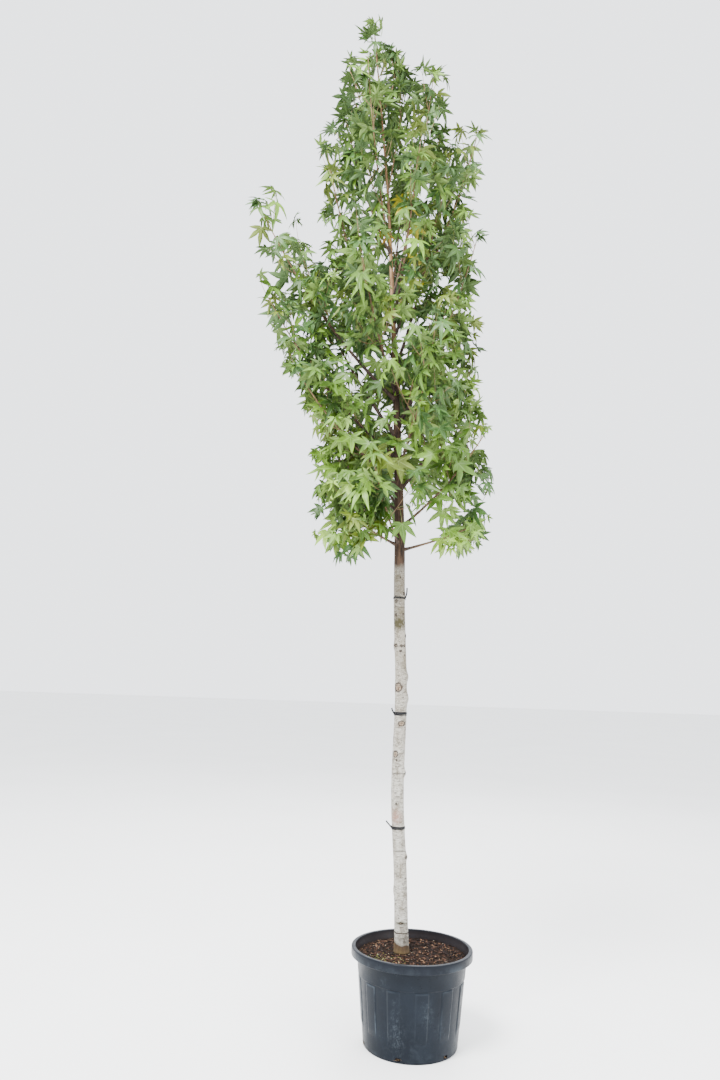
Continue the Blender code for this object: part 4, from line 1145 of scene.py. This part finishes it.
def make_pot():
    """The pot, with round edges, twelve raised panels and drain holes round its foot."""
    rim_foot = POT_HEIGHT - RIM_DEPTH
    collar_foot = rim_foot - COLLAR_DEPTH
    lip, bead = 0.005, 0.0025
    profile = [(0.0, WALL), (BASE_RADIUS - WALL - 0.004, WALL)]
    profile += [(wall_radius(z) - WALL, z) for z in np.linspace(WALL + 0.004, rim_foot, 8)]
    profile += [(RIM_MOUTH_RADIUS - 0.004, rim_foot + 0.014)]
    profile += arc((RIM_MOUTH_RADIUS + bead, POT_HEIGHT - bead), bead, 180, 90, 5)
    profile += arc((RIM_RADIUS - lip, POT_HEIGHT - lip), lip, 90, 0, 7)
    profile += arc((RIM_RADIUS - bead, rim_foot + bead), bead, 0, -90, 5)
    profile += [(COLLAR_RADIUS + 0.001, rim_foot), (COLLAR_RADIUS, rim_foot - 0.002)]
    profile += [(wall_radius(collar_foot) + COLLAR_STEP, collar_foot + 0.004)]
    profile += [(wall_radius(collar_foot) + 0.0004, collar_foot + 0.001)]
    for z in np.linspace(collar_foot - 0.001, 0.010, POT_RINGS):
        profile.append((wall_radius(z), z))
    profile += arc((BASE_RADIUS - 0.006, 0.006), 0.006, 0, -90, 6)
    profile.append((0.0, 0.0))
    radii, heights = np.array(profile).T
    turns = np.arange(POT_STEPS) * 2 * math.pi / POT_STEPS
    low, low_full, high_full, high = PANEL_HEIGHTS
    spacing = 2 * math.pi / PANEL_COUNT
    off = np.abs((turns - FIRST_PANEL + spacing / 2) % spacing - spacing / 2)
    across = np.clip((PANEL_HALF_ANGLE - off) / PANEL_SLOPE, 0, 1)
    rising = np.clip((heights - low) / (low_full - low), 0, 1)
    up = rising * np.clip((high - heights) / (high - high_full), 0, 1)
    outside = np.arange(len(profile)) > len(profile) - POT_RINGS - 8
    groove = np.exp(-(((off - PANEL_HALF_ANGLE - 0.012) / 0.006) ** 2))
    raised = np.outer(up * outside, PANEL_RAISE * across - 0.0012 * groove)
    # The lines along the panels' sides and tops and under the rim, kept as the "edge" value, are where the
    # material paints its highlight.
    upright_edge = np.outer(up * outside, np.exp(-(((off - PANEL_HALF_ANGLE + 0.013) / 0.007) ** 2)))
    top_edge = np.outer(np.exp(-(((heights - high_full) / 0.003) ** 2)) * outside, across)
    rim_edge = np.exp(-(((heights - rim_foot - 0.002) / 0.0016) ** 2)) * (radii > RIM_RADIUS - 0.004)
    edges = np.clip(upright_edge + top_edge + 0.6 * rim_edge[:, None], 0, 1)
    reach = np.maximum(radii[:, None] + raised * (radii[:, None] > 0), 0.00001)
    heap = Heap()
    levels = np.repeat(heights[:, None], POT_STEPS, 1)
    points = np.stack([reach * np.cos(turns), reach * np.sin(turns), levels], -1)
    faces = grid_faces(len(points), POT_STEPS, flip=True)
    heap.add(points.reshape(-1, 3), faces, values=edges.ravel())
    pot = heap.build("pot_shell", [pot_material()], "pot", ["pot"], "edge")
    weld(pot.data)
    for i in range(DRAIN_COUNT):
        cut_drain(pot, FIRST_DRAIN + i * 2 * math.pi / DRAIN_COUNT)
    pot.data.set_sharp_from_angle(angle=math.radians(35))
    return pot


def weld(mesh):
    """Welds a mesh's points and turns its faces outwards."""
    work = bmesh.new()
    work.from_mesh(mesh)
    bmesh.ops.remove_doubles(work, verts=work.verts, dist=0.00003)
    bmesh.ops.recalc_face_normals(work, faces=work.faces)
    work.to_mesh(mesh)
    work.free()


def cut_drain(pot, turn):
    """Cuts one drain hole with rounded corners."""
    work = bmesh.new()
    bmesh.ops.create_cube(work, size=1.0, matrix=Matrix.Diagonal((*DRAIN_SIZE, 1.0)))
    upright = [e for e in work.edges if abs(e.verts[0].co.x - e.verts[1].co.x) > 0.001]
    bmesh.ops.bevel(work, geom=upright, offset=0.0035, segments=3, affect="EDGES", profile=0.5)
    mesh = bpy.data.meshes.new("drain")
    work.to_mesh(mesh)
    work.free()
    mesh.transform(Matrix.Rotation(turn, 4, "Z") @ Matrix.Translation((BASE_RADIUS, 0.0, DRAIN_HEIGHT)))
    cutter = bpy.data.objects.new("drain", mesh)
    bpy.context.scene.collection.objects.link(cutter)
    modifier = pot.modifiers.new("drain", "BOOLEAN")
    modifier.operation = "DIFFERENCE"
    modifier.solver = "EXACT"
    modifier.object = cutter
    graph = bpy.context.evaluated_depsgraph_get()
    cut = bpy.data.meshes.new_from_object(pot.evaluated_get(graph))
    pot.modifiers.clear()
    pot.data = cut
    bpy.data.objects.remove(cutter)


def make_roots():
    """Bits of fine root that stick in the drain holes."""
    heap = Heap()
    dice = random.Random(SEED + 700)
    for i in range(DRAIN_COUNT):
        for _ in range(ROOTS_PER_DRAIN):
            turn = FIRST_DRAIN + i * 2 * math.pi / DRAIN_COUNT + dice.uniform(-0.045, 0.045)
            level = DRAIN_HEIGHT + dice.uniform(-0.005, 0.004)
            swing, reach = dice.uniform(-0.05, 0.05), dice.uniform(0.003, 0.008)
            run = []
            for k in range(6):
                out = BASE_RADIUS - 0.006 + (reach + 0.006) * k / 5
                way = turn + swing * (k / 5) ** 2
                rise = level + 0.002 * math.sin(k * 1.3 + swing * 90) * (k / 5)
                run.append(Vector((math.cos(way) * out, math.sin(way) * out, max(rise, ROOT_RADIUS * 2))))
            heap.add(*tube(run, np.linspace(ROOT_RADIUS, ROOT_RADIUS * 0.5, 6), 5))
    brown = ((0.33, (0.045, 0.028, 0.015)), (0.5, (0.110, 0.070, 0.038)), (0.68, (0.220, 0.160, 0.100)))
    heap.build("drain_roots", [mottled("root", brown, 160, (0.8, 0.95), 0.0003)], "soil")


def soil_height(x, y):
    """The mulch's top: level in the middle, lower at the pot's wall, uneven all over."""
    reach = math.hypot(x, y)
    drop = SOIL_EDGE_DROP * min(max((reach - SOIL_FLAT_RADIUS) / (SOIL_RADIUS - SOIL_FLAT_RADIUS), 0), 1)
    waves, crumbs = noise.noise(Vector((x * 45, y * 45, 0))), noise.noise(Vector((x * 130, y * 130, 3)))
    rough = 0.0030 * waves + 0.0016 * crumbs
    return SOIL_TOP - 0.0035 - drop + rough


def make_mulch():
    """A rough bed of peat, with chips of bark strewn over it in five colours."""
    rings, sides = 46, 150
    turns = np.arange(sides) * 2 * math.pi / sides
    radii = [SOIL_RADIUS * (i / rings) ** 0.8 for i in range(1, rings + 1)]
    points = []
    for radius in [0.00002] + radii:
        ring = [(radius * math.cos(t), radius * math.sin(t)) for t in turns]
        points += [(x, y, soil_height(x, y)) for x, y in ring]
    foot = WALL + GAP
    for radius, height in ((SOIL_RADIUS - 0.0005, 0.362), (SOIL_FOOT_RADIUS, foot), (0.00002, foot)):
        points += [(radius * math.cos(t), radius * math.sin(t), height) for t in turns]
    heap = Heap()
    heap.add(np.array(points), grid_faces(len(points) // sides, sides, flip=True))
    peat = ((0.35, (0.003, 0.002, 0.0015)), (0.5, (0.008, 0.005, 0.003)), (0.68, (0.024, 0.013, 0.008)))
    finish = mottled("peat", peat, 60, (0.85, 0.98), 0.003, Specular_IOR_Level=0.05)
    bed = heap.build("mulch_bed", [finish], "soil", ["soil"])
    weld(bed.data)
    colours = {
        "dark": (0.009, 0.005, 0.004),
        "brown": (0.050, 0.024, 0.015),
        "tan": (0.380, 0.220, 0.125),
        "pale": (0.420, 0.350, 0.260),
        "green": (0.240, 0.250, 0.070),
    }
    dice = random.Random(SEED + 500)
    for name, colour in colours.items():
        heap = Heap()
        for _ in range(CHIP_COUNTS[name]):
            moss = dice.random() < MOSSY_SHARES.get(name, 0.0)
            widths = CHIP_WIDTHS.get(name, CHIP_WIDTH)
            add_chip(heap, dice, CHIP_SCALES.get(name, 1.0), widths, moss)
        finish = mottled(
            f"chip_{name}", shades(colour, 0.5), 90, (0.78, 0.95), 0.0012, (1, 1, 0.4), Specular_IOR_Level=0.12
        )
        heap.build(f"chips_{name}", [finish], "soil")


def add_chip(heap, dice, scale, widths, moss):
    """A splinter of bark: a flat, pointed plate with uneven sides that lies askew."""
    length = dice.uniform(*CHIP_LENGTH) * scale * dice.uniform(0.6, 1.0)
    width = length * dice.uniform(*widths)
    thick = min(0.0045, width * dice.uniform(0.18, 0.4))
    reach = (SOIL_RADIUS - 0.003 - length / 2) * math.sqrt(dice.random())
    turn = dice.uniform(0, 2 * math.pi)
    x, y = reach * math.cos(turn), reach * math.sin(turn)
    if moss:
        x, y = (dice.gauss(middle, MOSS_SPREAD) for middle in MOSS_PLACE)
        if math.hypot(x, y) > SOIL_RADIUS - 0.003 - length / 2:
            return
    foot = trunk_axis(SOIL_TOP)
    if math.hypot(x - foot.x, y - foot.y) < trunk_radius(SOIL_TOP) + length * 0.3:
        return
    corners = 7
    outline = []
    for i in range(corners):
        spin = 2 * math.pi * i / corners
        swell = dice.uniform(0.7, 1.0)
        outline.append((math.cos(spin) * length / 2 * swell, math.sin(spin) * width / 2 * swell))
    middle = (dice.uniform(-0.1, 0.1) * length, 0.0)
    rows = []
    for level, size in ((-0.5, 0.86), (0.0, 1.0), (0.5, 0.84)):
        lift = level * thick
        rows.append([(px * size, py * size, lift + dice.uniform(-0.1, 0.1) * thick) for px, py in outline])
    points = np.array(rows[0] + rows[1] + rows[2] + [(*middle, -0.5 * thick), (*middle, 0.62 * thick)])
    faces = []
    for low, high in ((0, corners), (corners, 2 * corners)):
        for i in range(corners):
            j = (i + 1) % corners
            faces.append((low + i, low + j, high + j))
            faces.append((low + i, high + j, high + i))
    for i in range(corners):
        j = (i + 1) % corners
        faces.append((3 * corners, j, i))
        faces.append((3 * corners + 1, 2 * corners + i, 2 * corners + j))
    tilt = Matrix.Rotation(dice.uniform(0, 2 * math.pi), 3, "Z")
    tilt = tilt @ Matrix.Rotation(dice.gauss(0, 0.40), 3, "X")
    tilt = tilt @ Matrix.Rotation(dice.gauss(0, 0.24), 3, "Y")
    place = np.array((x, y, soil_height(x, y) + thick * dice.uniform(0.1, 0.9)))
    heap.add(points @ np.array(tilt).T + place, np.array(faces))


def make_trunk():
    """The trunk's bark: long low ridges, bulging scars of cut twigs and rings of old growth."""
    foot = SOIL_TOP - 0.004
    count = round((TRUNK_TOP - foot) / TRUNK_RING_STEP)
    heights = [foot + (TRUNK_TOP - foot) * i / count for i in range(count + 1)]
    points, radii = [], []
    for height in heights:
        middle = trunk_axis(max(height, SOIL_TOP + 0.012))
        points.append(Vector((middle.x, middle.y, height)))
        radii.append(trunk_radius(max(height, SOIL_TOP)))
    marks = []
    side = any_side(Vector((0, 0, 1)))
    start = math.atan2(side.y, side.x)

    def relief(i, turns):
        height, radius = heights[i], radii[i]
        grown = min(1.0, radius / FOOT_RADIUS)
        found = np.empty(len(turns))
        for k, turn in enumerate(turns):
            bearing = turn + start
            x, y = math.cos(bearing), math.sin(bearing)
            long_ridges = noise.noise(Vector((x * 3.2, y * 3.2, height * 2.2)))
            furrows = noise.noise(Vector((x * 9.0, y * 9.0, height * 9.0)))
            grain = noise.noise(Vector((x * 22.0, y * 22.0, height * 38.0)))
            found[k] = grown * (0.0010 * long_ridges + 0.0006 * furrows + 0.0003 * grain)
        dark = np.zeros(len(turns))
        for at, bearing, tall, wide, bulge in KNOTS + SWELLINGS:
            if abs(height - at) > 3 * tall:
                continue
            off = (turns + start - math.radians(bearing) + math.pi) % (2 * math.pi) - math.pi
            apart = ((height - at) / tall) ** 2 + (off * radius / wide) ** 2
            if (at, bearing, tall, wide, bulge) in SWELLINGS:
                found += bulge * np.exp(-apart * 0.7)
                continue
            found += KNOT_SWELL * bulge * (np.exp(-apart * 0.45) - 0.8 * np.exp(-apart * 3.0))
            full = SMALL_SCAR_MARK if tall < SMALL_SCAR else 1.0
            dark = np.maximum(dark, full * np.exp(-apart * 1.1) * min(1.0, bulge / 0.002))
        marks.append(np.clip(dark, 0, 1))
        return found

    shape = tube(points, radii, TRUNK_SIDES, relief)
    heap = Heap()
    heap.add(*shape, values=np.concatenate([marks[0], *marks, marks[-1]]))
    heap.build("trunk_bark", [trunk_material()], "trunk", ["trunk"], "mark")


def make_ties():
    """Ties of soft black cord: turns laid side by side, a knot and its tail."""
    rubber = ((0.3, (0.004, 0.004, 0.005)), (0.5, (0.008, 0.008, 0.009)), (0.7, (0.018, 0.018, 0.020)))
    finish = mottled("tie_rubber", rubber, 140, (0.55, 0.72), 0.0004, Specular_IOR_Level=0.2)
    for number, (name, (height, width, bearing, lean, length)) in enumerate(TIES.items()):
        heap = Heap()
        dice = random.Random(SEED + 900 + number)
        turns_round = max(2, round(width / (2 * TIE_CORD_RADIUS)))
        tilts = [dice.uniform(-0.05, 0.05) for _ in range(turns_round)]
        for k, tilt in enumerate(tilts):
            level = height + (k - (turns_round - 1) / 2) * 2 * TIE_CORD_RADIUS
            heap.add(*ring_cord(level, tilt, dice.uniform(0, 6)))
        turn = math.radians(bearing)
        out = Vector((math.cos(turn), math.sin(turn), 0.0))
        knot = trunk_axis(height) + out * (trunk_radius(height) + 1.6 * TIE_CORD_RADIUS)
        across = Vector((-out.y, out.x, 0.0))
        for phase in (0.0, math.pi / 2):
            loop = []
            for i in range(13):
                t = 2 * math.pi * i / 12 + phase
                up = Vector((0, 0, math.sin(t) * 0.0032))
                loop.append(knot + across * math.cos(t) * 0.0034 + up + out * math.sin(2 * t) * 0.0014)
            heap.add(*tube(loop, [TIE_CORD_RADIUS * 0.95] * len(loop), 8))
        way = out * math.sin(math.radians(lean)) + Vector((0, 0, math.cos(math.radians(lean))))
        tail = []
        for i in range(9):
            s = i / 8
            curl = out * 0.002 * math.sin(s * 3.0)
            tail.append(knot + way * length * s + curl + across * 0.003 * math.sin(s * 4.5))
        heap.add(*tube(tail, [TIE_CORD_RADIUS * 2.2] * len(tail), 8))
        stub = [knot + (across * 0.8 - Vector((0, 0, 0.6))) * 0.014 * i / 4 for i in range(5)]
        heap.add(*tube(stub, [TIE_CORD_RADIUS * 0.9] * len(stub), 8))
        heap.build(name + "_cord", [finish], "tie", [name])


def ring_cord(level, tilt, phase):
    """One turn of cord round the trunk, as a closed ring."""
    sides, steps = 8, 72
    middle, reach = trunk_axis(level), trunk_radius(level) + TIE_CORD_RADIUS * 0.9
    points = []
    for i in range(steps):
        t = 2 * math.pi * i / steps
        rise = tilt * reach * math.cos(t + phase)
        for k in range(sides):
            s = 2 * math.pi * k / sides
            out = reach + TIE_CORD_RADIUS * math.cos(s)
            up = rise + TIE_CORD_RADIUS * math.sin(s)
            points.append((middle.x + out * math.cos(t), middle.y + out * math.sin(t), level + up))
    return np.array(points), grid_faces(steps, sides, flip=True, closed=True)


def make_crown():
    """The boughs, shoots, stalks and leaves, each kind joined."""
    limbs = plan_limbs()
    tree = Tree(limbs)
    for number in range(len(tree.stems)):
        tree.grow(number)
    boughs = [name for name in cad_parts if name.startswith("bough_")]
    masses = [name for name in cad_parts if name.startswith("foliage_")]
    tree.wood.build("bough_bark", [bough_material()], "bough", boughs, "young")
    tan = ((0.33, (0.110, 0.062, 0.028)), (0.5, (0.190, 0.110, 0.050)), (0.68, (0.280, 0.175, 0.085)))
    tree.shoots.build("shoots", [mottled("shoot_bark", tan, 60, (0.55, 0.7), 0.0004)], "foliage", masses)
    stalk = ((0.33, (0.100, 0.140, 0.030)), (0.5, (0.150, 0.190, 0.045)), (0.68, (0.210, 0.200, 0.065)))
    finish = mottled("stalk_green", stalk, 40, (0.45, 0.6), 0.0002)
    tree.petioles.build("leaf_stalks", [finish], "foliage", masses)
    for name, heap in tree.leaves.items():
        if heap.count:
            heap.build(f"leaves_{name}", leaf_materials(name), "foliage", masses, "rib")
    print("leaves:", tree.leaf_count)


def make_stage():
    """A plain pale floor, soft light and the photograph's camera."""
    size = 60.0
    mesh = bpy.data.meshes.new("floor")
    corners = [(-size, -size, 0), (size, -size, 0), (size, size, 0), (-size, size, 0)]
    mesh.from_pydata(corners, [], [(0, 1, 2, 3)])
    pale = Nodes("floor_pale", Roughness=0.85, Specular_IOR_Level=0.2)
    pale.colour(pale.ramp(pale.noise(0.7, 3), ((0.3, (0.83, 0.83, 0.82)), (0.7, (0.86, 0.86, 0.85)))))
    mesh.materials.append(pale.material)
    floor = bpy.data.objects.new("floor", mesh)
    bpy.context.scene.collection.objects.link(floor)

    world = bpy.data.worlds.new("studio")
    world.use_nodes = True
    background = world.node_tree.nodes["Background"]
    background.inputs["Color"].default_value = (0.93, 0.96, 1.0, 1.0)
    background.inputs["Strength"].default_value = 3.0
    bpy.context.scene.world = world

    lamps = {
        "key": ((-3.4, -4.4, 8.4), 3.0, 2200.0),
        "fill": ((4.2, -4.0, 4.6), 4.0, 350.0),
        "back": ((1.5, 5.0, 7.0), 4.0, 700.0),
    }
    for name, (place, width, power) in lamps.items():
        lamp = bpy.data.lights.new(name, "AREA")
        lamp.size = width
        lamp.energy = power
        thing = bpy.data.objects.new(name, lamp)
        thing.location = place
        aim = Vector((-0.15, 0.0, 2.6)) - Vector(place)
        thing.rotation_euler = aim.to_track_quat("-Z", "Y").to_euler()
        thing.visible_camera = False
        bpy.context.scene.collection.objects.link(thing)

    camera = bpy.data.cameras.new("camera")
    camera.lens = CAMERA_LENS
    camera.sensor_width = 36.0
    camera.sensor_fit = "AUTO"
    camera.clip_end = 200.0
    eye = bpy.data.objects.new("camera", camera)
    turn = Matrix.Rotation(math.pi / 2 + CAMERA_PITCH, 4, "X") @ Matrix.Rotation(CAMERA_ROLL, 4, "Z")
    eye.matrix_world = Matrix.Translation(CAMERA_PLACE) @ turn
    bpy.context.scene.collection.objects.link(eye)
    bpy.context.scene.camera = eye


make_pot()
make_roots()
make_mulch()
make_trunk()
make_ties()
make_crown()
make_stage()
